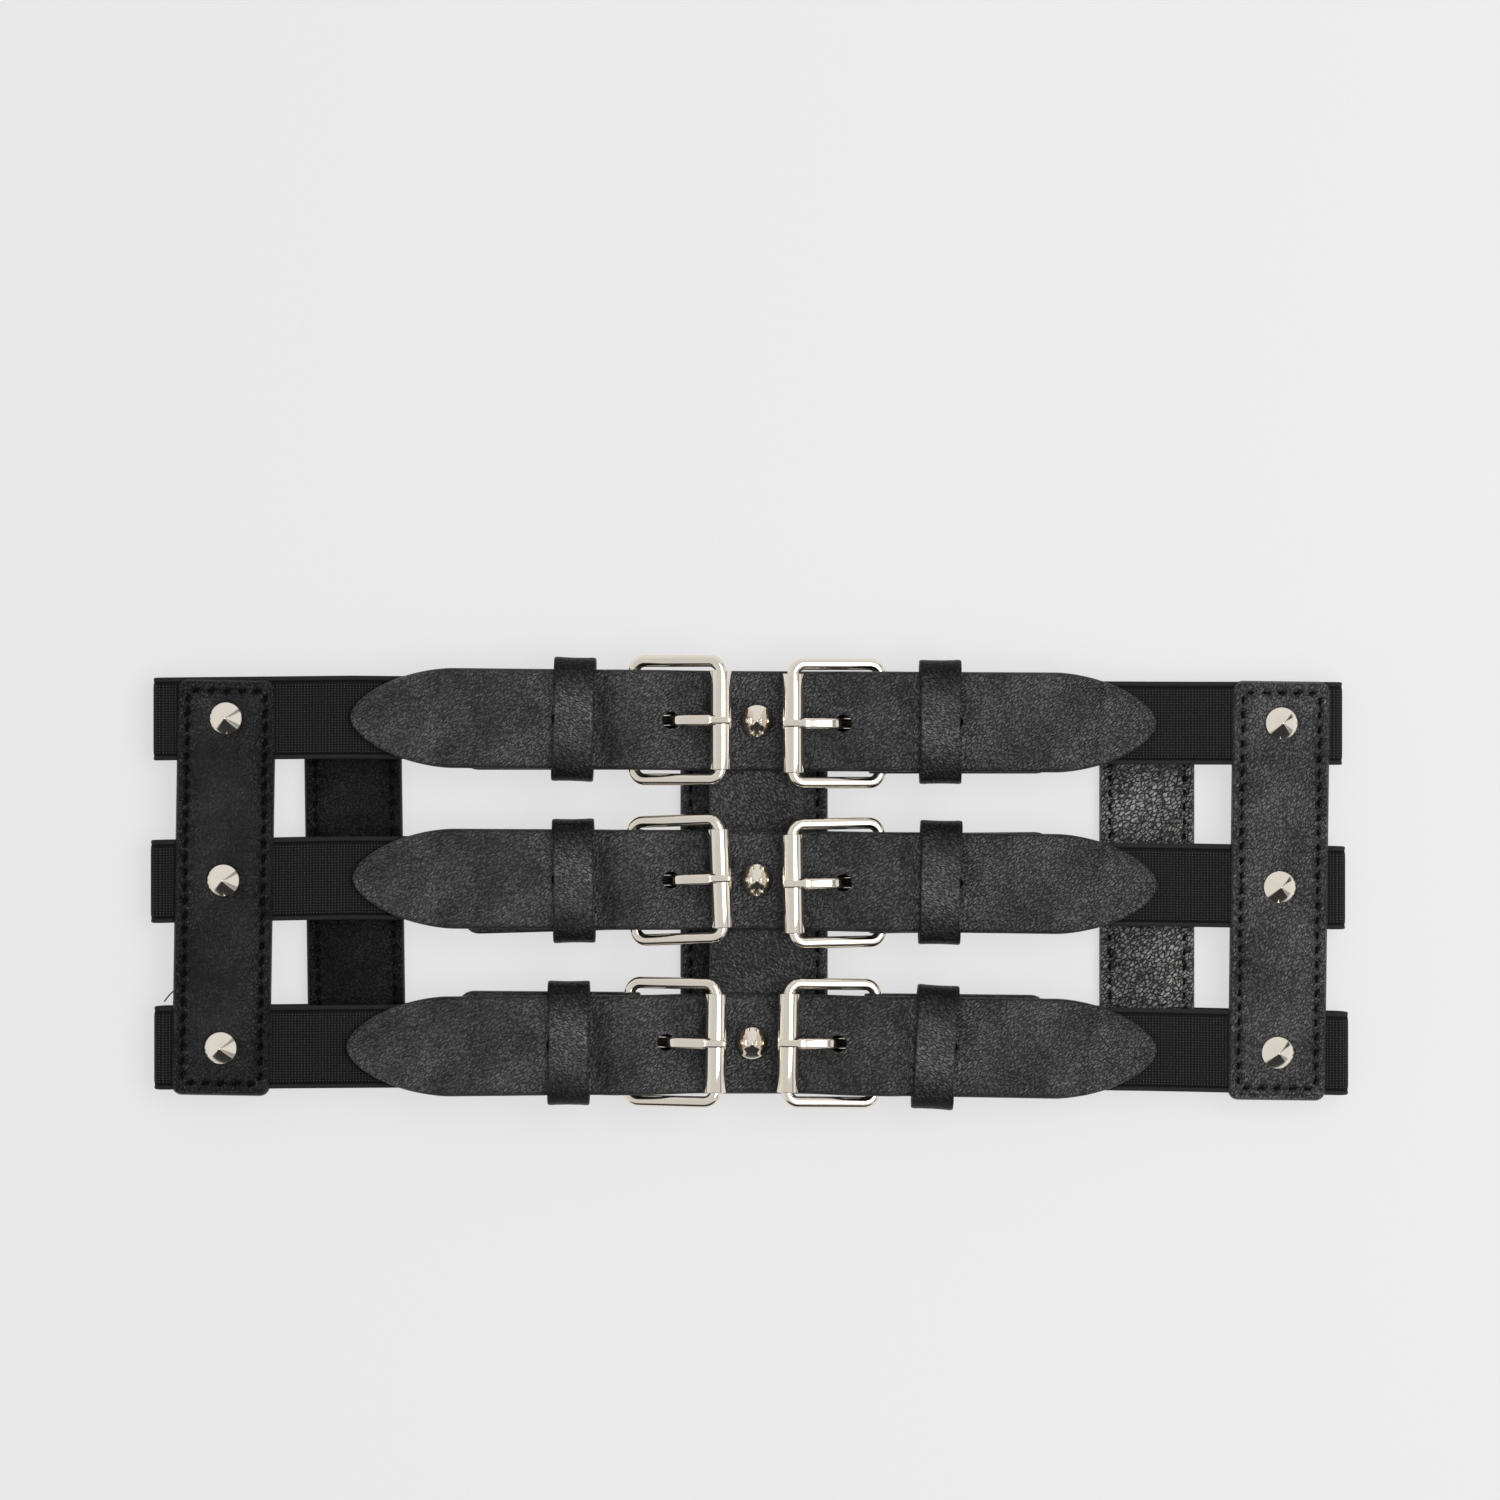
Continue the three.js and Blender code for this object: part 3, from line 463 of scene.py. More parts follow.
class Look:
    """A material's node tree with short ways to add to it."""

    def __init__(self, name):
        self.material = bpy.data.materials.new(name)
        self.material.use_nodes = True
        self.tree = self.material.node_tree
        self.shader = self.tree.nodes["Principled BSDF"]

    def node(self, kind, inputs=None, **settings):
        made = self.tree.nodes.new(kind)
        for key, value in settings.items():
            setattr(made, key, value)
        for key, value in (inputs or {}).items():
            if isinstance(value, bpy.types.NodeSocket):
                self.tree.links.new(value, made.inputs[key])
            else:
                made.inputs[key].default_value = value
        return made

    def stock(self, turn=0, stretch=(1, 1, 1)):
        """Places on the stock in millimetres, turned and stretched."""
        places = self.node("ShaderNodeUVMap", uv_map="stock").outputs["UV"]
        spun = self.node("ShaderNodeMapping", {"Vector": places, "Rotation": (0, 0, math.radians(turn))})
        return self.node("ShaderNodeMapping", {"Vector": spun.outputs["Vector"], "Scale": stretch}).outputs["Vector"]

    def noise(self, places, scale, detail=2, roughness=0.5, distortion=0):
        return self.node("ShaderNodeTexNoise", {
            "Vector": places, "Scale": scale, "Detail": detail, "Roughness": roughness, "Distortion": distortion,
        }).outputs["Fac"]

    def maths(self, operation, first, second=0.0, clamp=False):
        return self.node("ShaderNodeMath", {0: first, 1: second}, operation=operation, use_clamp=clamp).outputs[0]

    def spread(self, value, low, high, to_low, to_high):
        return self.node("ShaderNodeMapRange", {
            "Value": value, "From Min": low, "From Max": high, "To Min": to_low, "To Max": to_high,
        }).outputs["Result"]

    def between(self, share, first, second):
        made = self.node("ShaderNodeMix", data_type="RGBA")
        self.tree.links.new(share, made.inputs["Factor"])
        made.inputs[6].default_value = (*first, 1)
        made.inputs[7].default_value = (*second, 1)
        return made.outputs[2]

    def bump(self, height, depth, strength=1.0, under=None):
        inputs = {"Height": height, "Distance": depth * MM, "Strength": strength}
        if under is not None:
            inputs["Normal"] = under
        return self.node("ShaderNodeBump", inputs).outputs["Normal"]

    def set(self, **inputs):
        """Sets or links the shader's own sockets, named with _ for a space."""
        for key, value in inputs.items():
            socket = self.shader.inputs[key.replace("_", " ")]
            if isinstance(value, bpy.types.NodeSocket):
                self.tree.links.new(value, socket)
            else:
                socket.default_value = value


def leather(name, light, grain=(1.35, 0.43), turn=42, busy=0.48, rough=0.34, specular=0.56, half=None, painted_shine=None):
    """Black leather of slanted pebbles. Its edges may be darkened with painted shade, and part of its length may carry
    a painted highlight fading to painted shade, with more gloss in its middle.
    """
    look = Look(name)
    plain = look.stock()
    slanted = look.stock(-turn, (1 / grain[0], 1 / grain[1], 1))
    creases = look.node("ShaderNodeTexVoronoi", {"Vector": slanted, "Scale": 1.0}, feature="DISTANCE_TO_EDGE")
    pebbles = look.spread(creases.outputs["Distance"], 0.02, 0.16, 0, 1)
    mottle = look.noise(slanted, 1.05, 2, 0.6, 0.2)
    clouds = look.noise(plain, 0.07, 3, 0.55)
    pores = look.noise(plain, 3.5, 2, 0.6)
    tone = look.maths("MULTIPLY", pebbles, look.spread(mottle, busy - 0.26, busy + 0.2, 0, 1))
    tone = look.maths("MULTIPLY", tone, look.spread(clouds, 0.3, 0.7, 0.45, 1.5))
    gloss = look.spread(clouds, 0.3, 0.7, specular * 0.75, specular * 1.25)
    split = look.node("ShaderNodeSeparateXYZ", {"Vector": plain})
    # Painted shade: the tone falls to a quarter over the last millimetre out to the rounded edges and the underside.
    if half is not None:
        across = look.maths("ABSOLUTE", split.outputs["Y"])
        tone = look.maths("MULTIPLY", tone, look.spread(across, half - 1.3, half - 0.4, 1, 0.25))
    # Painted highlight and painted shade: the tone rises to 1.2 near a middle place along the stock and drops to 0.15
    # further out, and the gloss follows the same band.
    if painted_shine is not None:
        middle, reach = painted_shine
        away = look.maths("ABSOLUTE", look.maths("SUBTRACT", split.outputs["X"], middle))
        painted_sheen = look.spread(away, reach * 0.25, reach, 1, 0)
        tone = look.maths("MULTIPLY", tone, look.spread(painted_sheen, 0, 1, 0.15, 1.2))
        gloss = look.spread(painted_sheen, 0, 1, specular * 0.4, specular * 1.5)
    height = look.maths("ADD", look.maths("MULTIPLY", pebbles, 0.6), look.maths("MULTIPLY", mottle, 1.1))
    look.set(
        Base_Color=look.between(tone, INK, light),
        Roughness=look.spread(look.maths("ADD", pores, clouds), 0.6, 1.4, rough - 0.07, rough + 0.09),
        Specular_IOR_Level=gloss,
        Normal=look.bump(height, 0.45),
    )
    return look.material


def woven_elastic():
    """Near-black elastic: dotted ribs across the band and a smooth selvedge along each edge."""
    look = Look("elastic")
    places = look.node("ShaderNodeUVMap", uv_map="stock").outputs["UV"]
    split = look.node("ShaderNodeSeparateXYZ", {"Vector": places})
    along, across = split.outputs["X"], split.outputs["Y"]
    ribs = look.spread(look.maths("SINE", look.maths("MULTIPLY", along, 2.6 * math.pi)), 0, 0.8, 0, 1)
    dots = look.spread(look.maths("SINE", look.maths("MULTIPLY", across, 3 * math.pi)), -0.2, 0.6, 0, 1)
    edge = look.maths("SUBTRACT", ELASTIC_WIDTH / 2, look.maths("ABSOLUTE", across))
    inside = look.spread(edge, SELVEDGE + 0.1, SELVEDGE + 0.3, 0, 1)
    # Painted shade: the tone drops to black along each selvedge groove, between the selvedge and the weave.
    painted_groove_shade = look.spread(look.maths("ABSOLUTE", look.maths("SUBTRACT", edge, SELVEDGE)), 0.12, 0.5, 0, 1)
    fuzz = look.noise(look.stock(), 2.6, 4, 0.7)
    weave = look.maths("MULTIPLY", look.maths("MULTIPLY", ribs, dots), inside)
    ground = look.spread(fuzz, 0.35, 0.7, 0, 0.14)
    border = look.maths("MULTIPLY", look.maths("SUBTRACT", 1.0, inside), 0.16)
    tone = look.maths("ADD", look.maths("MULTIPLY", weave, look.spread(fuzz, 0.3, 0.6, 0.35, 0.9)), ground)
    tone = look.maths("MULTIPLY", look.maths("ADD", tone, border, True), painted_groove_shade)
    look.set(
        Base_Color=look.between(tone, (0.0006, 0.0006, 0.0006), (0.082, 0.081, 0.081)),
        Roughness=look.spread(fuzz, 0.3, 0.7, 0.7, 0.85),
        Specular_IOR_Level=0.13,
        Normal=look.bump(look.maths("ADD", weave, look.maths("MULTIPLY", fuzz, 0.4)), 0.2),
    )
    return look.material


def polished_nickel():
    """Warm nickel with faint drawing lines and wear."""
    look = Look("nickel")
    lines = look.noise(look.stock(0, (0.05, 2, 1)), 2.2, 3, 0.6)
    stains = look.noise(look.stock(), 0.25, 3, 0.6)
    look.set(
        Base_Color=look.between(stains, (0.84, 0.77, 0.665), (0.9, 0.84, 0.745)),
        Metallic=1.0,
        Roughness=look.spread(look.maths("ADD", lines, stains), 0.6, 1.4, 0.045, 0.12),
        Normal=look.bump(lines, 0.0012),
    )
    return look.material


def sewing_thread():
    """Black waxed thread with its twist."""
    look = Look("thread")
    split = look.node("ShaderNodeSeparateXYZ", {"Vector": look.stock(55)})
    twist = look.spread(look.maths("SINE", look.maths("MULTIPLY", split.outputs["X"], 12)), -1, 1, 0, 1)
    look.set(
        Base_Color=look.between(twist, (0.0008, 0.0008, 0.0008), (0.004, 0.004, 0.004)),
        Roughness=look.spread(twist, 0, 1, 0.7, 0.6),
        Specular_IOR_Level=0.08,
        Normal=look.bump(twist, 0.08),
    )
    return look.material


# Strap leather, with painted shade towards the rounded edges of the strap stock.
STRAP_LEATHER = leather("strap_leather", (0.115, 0.115, 0.118), busy=0.51, half=STRAP_WIDTH / 2)
# Painted light and shade: the front panels' leather is a darker shaded copy on the left and a lighter lit copy on the
# right, as under a key from the right.
PANEL_LEATHER_SHADED = leather("panel_leather_shaded", (0.026, 0.026, 0.026), (1.2, 0.45), 35, 0.5, 0.32, 0.36)
PANEL_LEATHER_LIT = leather("panel_leather_lit", (0.1, 0.1, 0.105), (1.3, 0.5), 35, 0.49)
# Painted light and shade: the back panels share one leather, made as a near-black shaded copy on the left and a far
# lighter lit copy on the right.
BACK_LEATHER_SHADED = leather("back_leather_shaded", (0.03, 0.03, 0.029), (0.8, 0.5), 50, 0.5, specular=0.15)
BACK_LEATHER_LIT = leather("back_leather_lit", (0.34, 0.335, 0.33), (1.5, 0.85), 50, 0.56, 0.34, 0.35)
CLOSURE_LEATHER = leather("closure_leather", (0.1, 0.1, 0.1), (1.3, 0.5), 35, 0.48)
# Keeper leather, with a painted highlight across the top of each loop and painted shade towards its ends.
KEEPER_LEATHER = leather("keeper_leather", (0.135, 0.135, 0.139), (1.3, 0.43), 60, 0.49, 0.3, 0.42, painted_shine=(16.5, 13))
# Each side's front and back leathers: the shaded copies on the left, the lit copies on the right.
LEATHERS = {"left": (PANEL_LEATHER_SHADED, BACK_LEATHER_SHADED), "right": (PANEL_LEATHER_LIT, BACK_LEATHER_LIT)}
ELASTIC = woven_elastic()
NICKEL = polished_nickel()
THREAD = sewing_thread()


# Straps
def tip_half(behind):
    """Half the strap's width at a distance behind its tip: a full arch that closes to a soft point."""
    inward = 1 - np.clip(behind / TIP_LENGTH, 0.0002, 1)
    return STRAP_WIDTH / 2 * (1 - inward**TIP_FULLNESS) ** (1 / TIP_FULLNESS)


def ripple(x, y):
    """A gentle unevenness of lying leather, in millimetres."""
    return (
        0.07 * np.sin(0.21 * x + 0.13 * y + 0.4)
        + 0.05 * np.sin(0.47 * x - 0.31 * y + 1.9)
        + 0.035 * np.sin(0.83 * x + 0.52 * y + 4.1)
        + 0.05 * np.sin(0.09 * x + 0.4 * y + 2.2)
    )


def strap(row):
    near_tip = np.array([0, 0.04, 0.12, 0.25, 0.42, 0.65, 0.95, 1.3, 1.7, 2.15, 2.6])
    left, right = row["tip"]
    plain = np.linspace(-left + 3.1, right - 3.1, 330)
    out = np.concatenate([-left + near_tip, plain, right - near_tip[::-1]])
    x = row["x"] + out
    middle = front_level(x) + climb(STRAP_CLIMB, np.abs(out)) + STRAP_THICK / 2
    line = np.stack([x, row["y"] + drift(row, x), middle], axis=1)
    behind = np.minimum(out + left, right - out)
    nose = np.clip(behind / 1.1, 0, 1)
    thick = STRAP_THICK * np.sqrt(np.clip(1 - (1 - nose) ** 2.4, 0.0004, 1))

    def lift(along, across):
        place = out[:, None]
        height = ripple(place + row["y"], across) * smooth((np.abs(place) - 12) / 20)
        for sign in (-1, 1):
            hole = np.hypot(place - sign * PRONG_HOLE["at"], across)
            outer = 1 + 0.8 * np.tanh(sign * (place - sign * PRONG_HOLE["at"]))
            height = height + 0.3 * outer * gauss(hole - PRONG_HOLE["radius"] - 0.5, 0.6)
            height = height - 0.22 * gauss(hole - PRONG_HOLE["radius"] - 2.6, 1.8)
            spare = np.hypot(place - sign * SPARE_HOLE["at"], across)
            height = height + 0.12 * gauss(spare - SPARE_HOLE["radius"] - 0.3, 0.5)
        for at, deep, slant in CREASES:
            height = height - deep * gauss(place - at - slant * across - 0.02 * row["y"], 0.8)
        stud_ring = np.hypot(place, across)
        return height - 0.25 * gauss(stud_ring - STUD["radius"] + 0.6, 1.3)

    form = Form()
    add_strip(form, line, (0, 1, 0), uprights(line), tip_half(behind), thick, 1.1, 42, 8, lift)
    made = form.build(f"strap_{row['name']}", [STRAP_LEATHER])
    holes = Form()
    slots = Form()
    add_round(holes, [(STUD["shank"] + FIT_GAP, FRONT_LEVEL - 2), (STUD["shank"] + FIT_GAP, FRONT_LEVEL + 9)], 24,
              place=(row["x"], row["y"], 0))
    for side in SIDES:
        turn, play = SETTLING[f"{row['name']}_{side['name']}"][:2]
        for hole, about, spin, shift in (
            (PRONG_HOLE, (HEEL_AT + ROLLER_AT) / 2, turn, play),
            (SPARE_HOLE, SPARE_HOLE["at"], 0, 0),
        ):
            part = Form()
            add_round(part, [(hole["radius"], 0), (hole["radius"], 20)], 40, place=(hole["at"], 0, 0))
            holes.add(seated(part.points[0].reshape(2, 40, 3), row, side, about, spin, shift),
                      np.array([[0], [2]]), np.arange(41)[None, :] * 0.3, closed=True, capped=True)
        far = PRONG_HOLE["at"] + 7
        room = PRONG["thick"] / 2 + REST_GAP
        wide = PRONG["width"] / 2 + REST_GAP
        ring = [(-wide, -room), (wide, -room), (wide, room), (-wide, room)]
        ends = [(place, HEEL_HEIGHT + (HEEL_AT - place) * PRONG_SLOPE) for place in (PRONG_HOLE["at"], far)]
        points = np.array([[(place, y, height + z) for y, z in ring] for place, height in ends])
        slots.add(seated(points, row, side, (HEEL_AT + ROLLER_AT) / 2, turn, play),
                  np.array([[0], [1]]), np.arange(5)[None, :], closed=True, capped=True)
    cut(made, holes)
    cut(made, slots)
    settle(made, "leather", f"strap_{row['name']}")


# Buckles
def frame_line():
    """The middle line of the buckle's wire, tilted up from the heel bar to the roller bar."""
    run, rise = HEEL_AT - ROLLER_AT, ROLLER_HEIGHT - HEEL_HEIGHT
    length = math.hypot(run, rise)
    end_x, end_y = length / 2 - FRAME_CORNER, FRAME_SPAN / 2 - FRAME_CORNER
    points = []
    for x, y, start in ((end_x, end_y, 0), (-end_x, end_y, 90), (-end_x, -end_y, 180), (end_x, -end_y, 270)):
        for step in range(13):
            angle = math.radians(start + step * 90 / 12)
            points.append((x + FRAME_CORNER * math.cos(angle), y + FRAME_CORNER * math.sin(angle)))
    points = np.array(points)
    tilt = math.atan2(rise, run)
    return np.stack([
        (HEEL_AT + ROLLER_AT) / 2 + points[:, 0] * math.cos(tilt),
        points[:, 1],
        (HEEL_HEIGHT + ROLLER_HEIGHT) / 2 - points[:, 0] * math.sin(tilt),
    ], axis=1)


def buckle(row, side):
    unit = f"{row['name']}_{side['name']}"
    turn, play = SETTLING[unit][:2]

    def seat(points):
        return seated(points, row, side, (HEEL_AT + ROLLER_AT) / 2, turn, play)

    wire = Form()
    add_tube(wire, frame_line(), WIRE_RADIUS, 28, ring=True)
    wire.move(seat)
    settle(wire.build(f"buckle_frame_{unit}", [NICKEL]), "nickel", f"buckle_frame_{unit}")

    tube = Form()
    half, radius, bore, soft = ROLLER["length"] / 2, ROLLER["radius"], ROLLER["bore"], 0.22
    add_round(tube, [(bore, -half + 0.2), (bore + 0.12, -half), (radius - soft, -half), (radius - 0.07, -half + 0.07),
                     (radius, -half + soft), (radius, half - soft), (radius - 0.07, half - 0.07),
                     (radius - soft, half), (bore + 0.12, half), (bore, half - 0.2)], 72)
    tube.faces = tube.faces[:-2]
    tube.corners = tube.corners[:-2]
    tube.kinds = tube.kinds[:-2]

    def lay(points):
        return seat(np.stack([points[:, 0] + ROLLER_AT, points[:, 2], points[:, 1] + ROLLER_HEIGHT], axis=1))

    tube.move(lay)
    settle(tube.build(f"roller_{unit}", [NICKEL]), "nickel", f"roller_{unit}")

    out = np.array([HEEL_AT - 1.8, 28, 27, 26, 25, 24, 23.2, 22.5, 21.8, 21.1, 20.4, 19.7, 19, 18, 16.5, 14.5, 12.9,
                    12.4, 12.1, 11.8, 11.5, 11.2, 10.8, 10.2, 9.4, 8.6, 7.8, 7.3, 6.95, 6.7, 6.55, PRONG["tip_at"]])
    tipward = smooth((PRONG["shoulder"] + 0.6 - out) / 1.2)
    width = PRONG["width"] + (PRONG["tip_width"] - PRONG["width"]) * tipward
    thick = PRONG["thick"] + (PRONG["tip_thick"] - PRONG["thick"]) * tipward
    end = np.clip((out - PRONG["tip_at"]) / 0.7, 0, 1)
    width = width * np.sqrt(np.clip(1 - (1 - end) ** 3, 0.02, 1))
    thick = thick * np.sqrt(np.clip(1 - (1 - end) ** 3, 0.02, 1))
    straight = HEEL_HEIGHT + (HEEL_AT - out) * PRONG_SLOPE
    resting = ROLLER_HEIGHT + ROLLER["radius"] + REST_GAP + PRONG["tip_thick"] / 2
    dip = smooth((out - PRONG_DIP["from"]) / PRONG_DIP["over"]) * smooth((PRONG_DIP["back"] - out) / 3)
    height = straight + (resting - straight) * smooth((15 - out) / 6.5) - PRONG_DIP["deep"] * dip
    line = np.stack([out, np.zeros(len(out)), height], axis=1)
    prong = Form()
    add_strip(prong, line, (0, 1, 0), -uprights(line), width / 2, thick, 0.85, 8, 4, squareness=2.3)
    angle = np.linspace(0, 2 * math.pi, 40, endpoint=False)
    wall = PRONG["eye"] - ROLLER["bore"]
    middle = ROLLER["bore"] + wall / 2
    loop = np.stack([HEEL_AT + middle * np.cos(angle), 0 * angle, HEEL_HEIGHT + middle * np.sin(angle)], axis=1)
    outward = np.stack([np.cos(angle), 0 * angle, np.sin(angle)], axis=1)
    add_strip(prong, loop, (0, 1, 0), outward, PRONG["width"] / 2, wall, 0.3, 4, 4, ring=True)
    prong.move(seat)
    settle(prong.build(f"prong_{unit}", [NICKEL]), "nickel", f"prong_{unit}")


# Tabs and keepers
def tab(row, side):
    unit = f"{row['name']}_{side['name']}"
    play, turn = SETTLING[unit][1:3]
    lower, upper = PLY_THICK / 2, UPPER_PLY + PLY_THICK / 2
    radius = HEEL_HEIGHT - lower
    flat = np.linspace(TAB_END, HEEL_AT + 1, 44)
    near = TAB_END - np.array([0, 0.1, 0.3, 0.6])
    flat = np.unique(np.concatenate([flat, near]))[::-1]
    angle = np.radians(np.linspace(-90, -270, 25))
    fold = [(HEEL_AT + radius * math.cos(a), HEEL_HEIGHT + radius * math.sin(a)) for a in angle]
    back = flat[::-1]
    descent = climb([(HEEL_AT, HEEL_HEIGHT + radius), (HEEL_AT + 6.2, upper)], back)
    line = np.array([(x, lower) for x in flat] + fold + list(zip(back, descent)))
    line = np.stack([line[:, 0], np.zeros(len(line)), line[:, 1]], axis=1)
    behind = np.clip(TAB_END - line[:, 0], 0, TAB_CORNER)
    half = STRAP_WIDTH / 2 - TAB_CORNER + np.sqrt(TAB_CORNER**2 - (TAB_CORNER - behind) ** 2)
    form = Form()
    add_strip(form, line, (0, 1, 0), uprights(line), half, PLY_THICK, 0.4, 14, 14,
              lift=lambda along, across: 0.4 * ripple(along, across) * (along < 30))
    form.move(lambda points: seated(points, row, side, HEEL_AT, turn, play))
    made = form.build(f"tab_{unit}", [STRAP_LEATHER])
    slot = Form()
    add_box(slot, (PRONG_SLOT["from"], -PRONG_SLOT["width"] / 2, -HEEL_HEIGHT),
            (PRONG_SLOT["to"], PRONG_SLOT["width"] / 2, 3 * HEEL_HEIGHT))
    slot.move(lambda points: seated(points, row, side, HEEL_AT, turn, play))
    cut(made, slot)
    settle(made, "leather", f"tab_{unit}")


def keeper(row, side):
    unit = f"{row['name']}_{side['name']}"
    turn, play = SETTLING[unit][3:]
    wall, corner = KEEPER["wall"], KEEPER["corner"]
    inside = OVER_TAB + STRAP_THICK + 2 * REST_GAP
    half_y = KEEPER["height"] / 2 - wall / 2
    half_z = (inside + wall) / 2
    middle_z = inside / 2 - REST_GAP
    bend = corner - wall / 2
    points = []
    outward = []
    for y, z, start in ((half_y - bend, half_z - bend, 0), (bend - half_y, half_z - bend, 90),
                        (bend - half_y, bend - half_z, 180), (half_y - bend, bend - half_z, 270)):
        for step in range(9):
            angle = math.radians(start + step * 90 / 8)
            points.append((y + bend * math.cos(angle), z + bend * math.sin(angle)))
            outward.append((math.cos(angle), math.sin(angle)))
        if start in (90, 270):
            continue
        if start == 0:
            for y_along in np.linspace(half_y - bend, bend - half_y, 26)[1:-1]:
                points.append((y_along, half_z))
                outward.append((0, 1))
        else:
            for y_along in np.linspace(bend - half_y, half_y - bend, 12)[1:-1]:
                points.append((y_along, -half_z))
                outward.append((0, -1))
    points, outward = np.array(points), np.array(outward)
    crown = 0.5 * (1 - (points[:, 0] / half_y) ** 2) * (points[:, 1] > 0)
    line = np.stack([np.full(len(points), float(KEEPER_AT)), points[:, 0], middle_z + points[:, 1] + crown], axis=1)
    up = np.stack([np.zeros(len(points)), outward[:, 0], outward[:, 1]], axis=1)
    flare = smooth((np.abs(points[:, 0]) - 9.5) / 3.5)
    half = (KEEPER["waist"] + (KEEPER["width"] - KEEPER["waist"]) * flare) / 2
    form = Form()

    def lift(along, across):
        edge = KEEPER["waist"] / 2 - np.abs(across)
        return 0.07 * gauss(edge - 0.75, 0.45) - 0.08 * gauss(across, 3)

    add_strip(form, line, (1, 0, 0), up, half, wall, 0.42, 16, 4, lift, ring=True)
    form.move(lambda spots: seated(spots, row, side, KEEPER_AT, turn, play))
    settle(form.build(f"keeper_{unit}", [KEEPER_LEATHER]), "leather", f"keeper_{unit}")


# Elastic bands
def elastic(row, side):
    sign = side["sign"]
    unit = f"{row['name']}_{side['name']}"
    fold = row["fold"][side["index"]]
    closure = CLOSURE_LEVELS[side["name"]] + CLOSURE_THICK / 2
    top = SIDE_LEVEL + ELASTIC_MIDDLE
    radius = (top - BACK_ELASTIC_MIDDLE) / 2
    fold_at = abs(row["x"] + sign * fold) - FOLD_REACH - ELASTIC_THICK / 2
    fronts = np.linspace(HEEL_AT + ELASTIC_SETBACK, fold_at - 0.8, 78)
    angle = np.radians(np.linspace(90, -90, 29))
    bend = np.stack([fold_at + FOLD_REACH * np.cos(angle),
                     BACK_ELASTIC_MIDDLE + radius + radius * np.sin(angle)], axis=1)
    backs = np.linspace(fold_at - 1, BACK_END, 84)
    rise = climb([(22, closure), (45, BACK_ELASTIC_MIDDLE)], backs)
    line = np.concatenate([
        np.stack([fronts, front_level(fronts) + ELASTIC_MIDDLE], axis=1),
        bend,
        np.stack([backs, rise], axis=1),
    ])
    x = sign * line[:, 0]
    line = np.stack([x, row["y"] + drift(row, x), line[:, 1]], axis=1)

    def lift(along, across):
        edge = ELASTIC_WIDTH / 2 - np.abs(across)
        return -0.22 * gauss(edge - SELVEDGE, 0.26) + 0.05 * smooth((edge - SELVEDGE) / 1.5)

    form = Form()
    half = ELASTIC_WIDTH / 2
    add_strip(form, line, (0, 1, 0), uprights(line) * sign, half, ELASTIC_THICK, 0.5, 30, 30, lift)
    settle(form.build(f"elastic_{unit}", [ELASTIC]), "elastic", f"elastic_{unit}")


# Panels
def inside_distance(x, y, width, height, corner):
    """Distance in from a rounded rectangle's outline."""
    qx = np.abs(x) - width / 2 + corner
    qy = np.abs(y) - height / 2 + corner
    return corner - np.hypot(np.maximum(qx, 0), np.maximum(qy, 0)) - np.minimum(np.maximum(qx, qy), 0)


def onto_outline(x, y, width, height, corner):
    """Draws points outside the rounded corners in to the outline."""
    cx, cy = width / 2 - corner, height / 2 - corner
    qx, qy = np.abs(x) - cx, np.abs(y) - cy
    reach = np.hypot(np.maximum(qx, 0), np.maximum(qy, 0))
    outside = (qx > 0) & (qy > 0) & (reach > corner)
    share = np.where(outside, corner / np.maximum(reach, 1e-9), 1)
    new_x = np.where(outside, np.sign(x) * (cx + qx * share), x)
    new_y = np.where(outside, np.sign(y) * (cy + qy * share), y)
    return new_x, new_y


def edge_lines(length, spacing):
    """Grid lines over a length, close together at both edges."""
    near = np.array([0, 0.05, 0.14, 0.27, 0.44, 0.66, 0.92])
    inner = np.linspace(near[-1], length - near[-1], max(2, round((length - 2 * near[-1]) / spacing)) + 1)
    return np.concatenate([near[:-1], inner, length - near[-2::-1]]) - length / 2


def stitch_places(width, height, inset, end_inset):
    """Middles and directions of the stitches round a panel."""
    made = []
    for length, fixed, upright in (
        (height - 2 * end_inset, width / 2 - inset, True),
        (width - 2 * inset, height / 2 - end_inset, False),
    ):
        count = round(length / STITCH_PITCH)
        pitch = length / count
        for sign in (-1, 1):
            for k in range(count):
                along = -length / 2 + (k + 0.5) * pitch
                made.append((sign * fixed, along, 90) if upright else (along, sign * fixed, 0))
    return made


def down_walls(x, y, width, height, drop):
    """Places on the stock, along and across, that run on down a panel's walls."""
    at_side = width / 2 - np.abs(x) < height / 2 - np.abs(y)
    return y + np.sign(y) * drop * ~at_side, x + np.sign(x) * drop * at_side


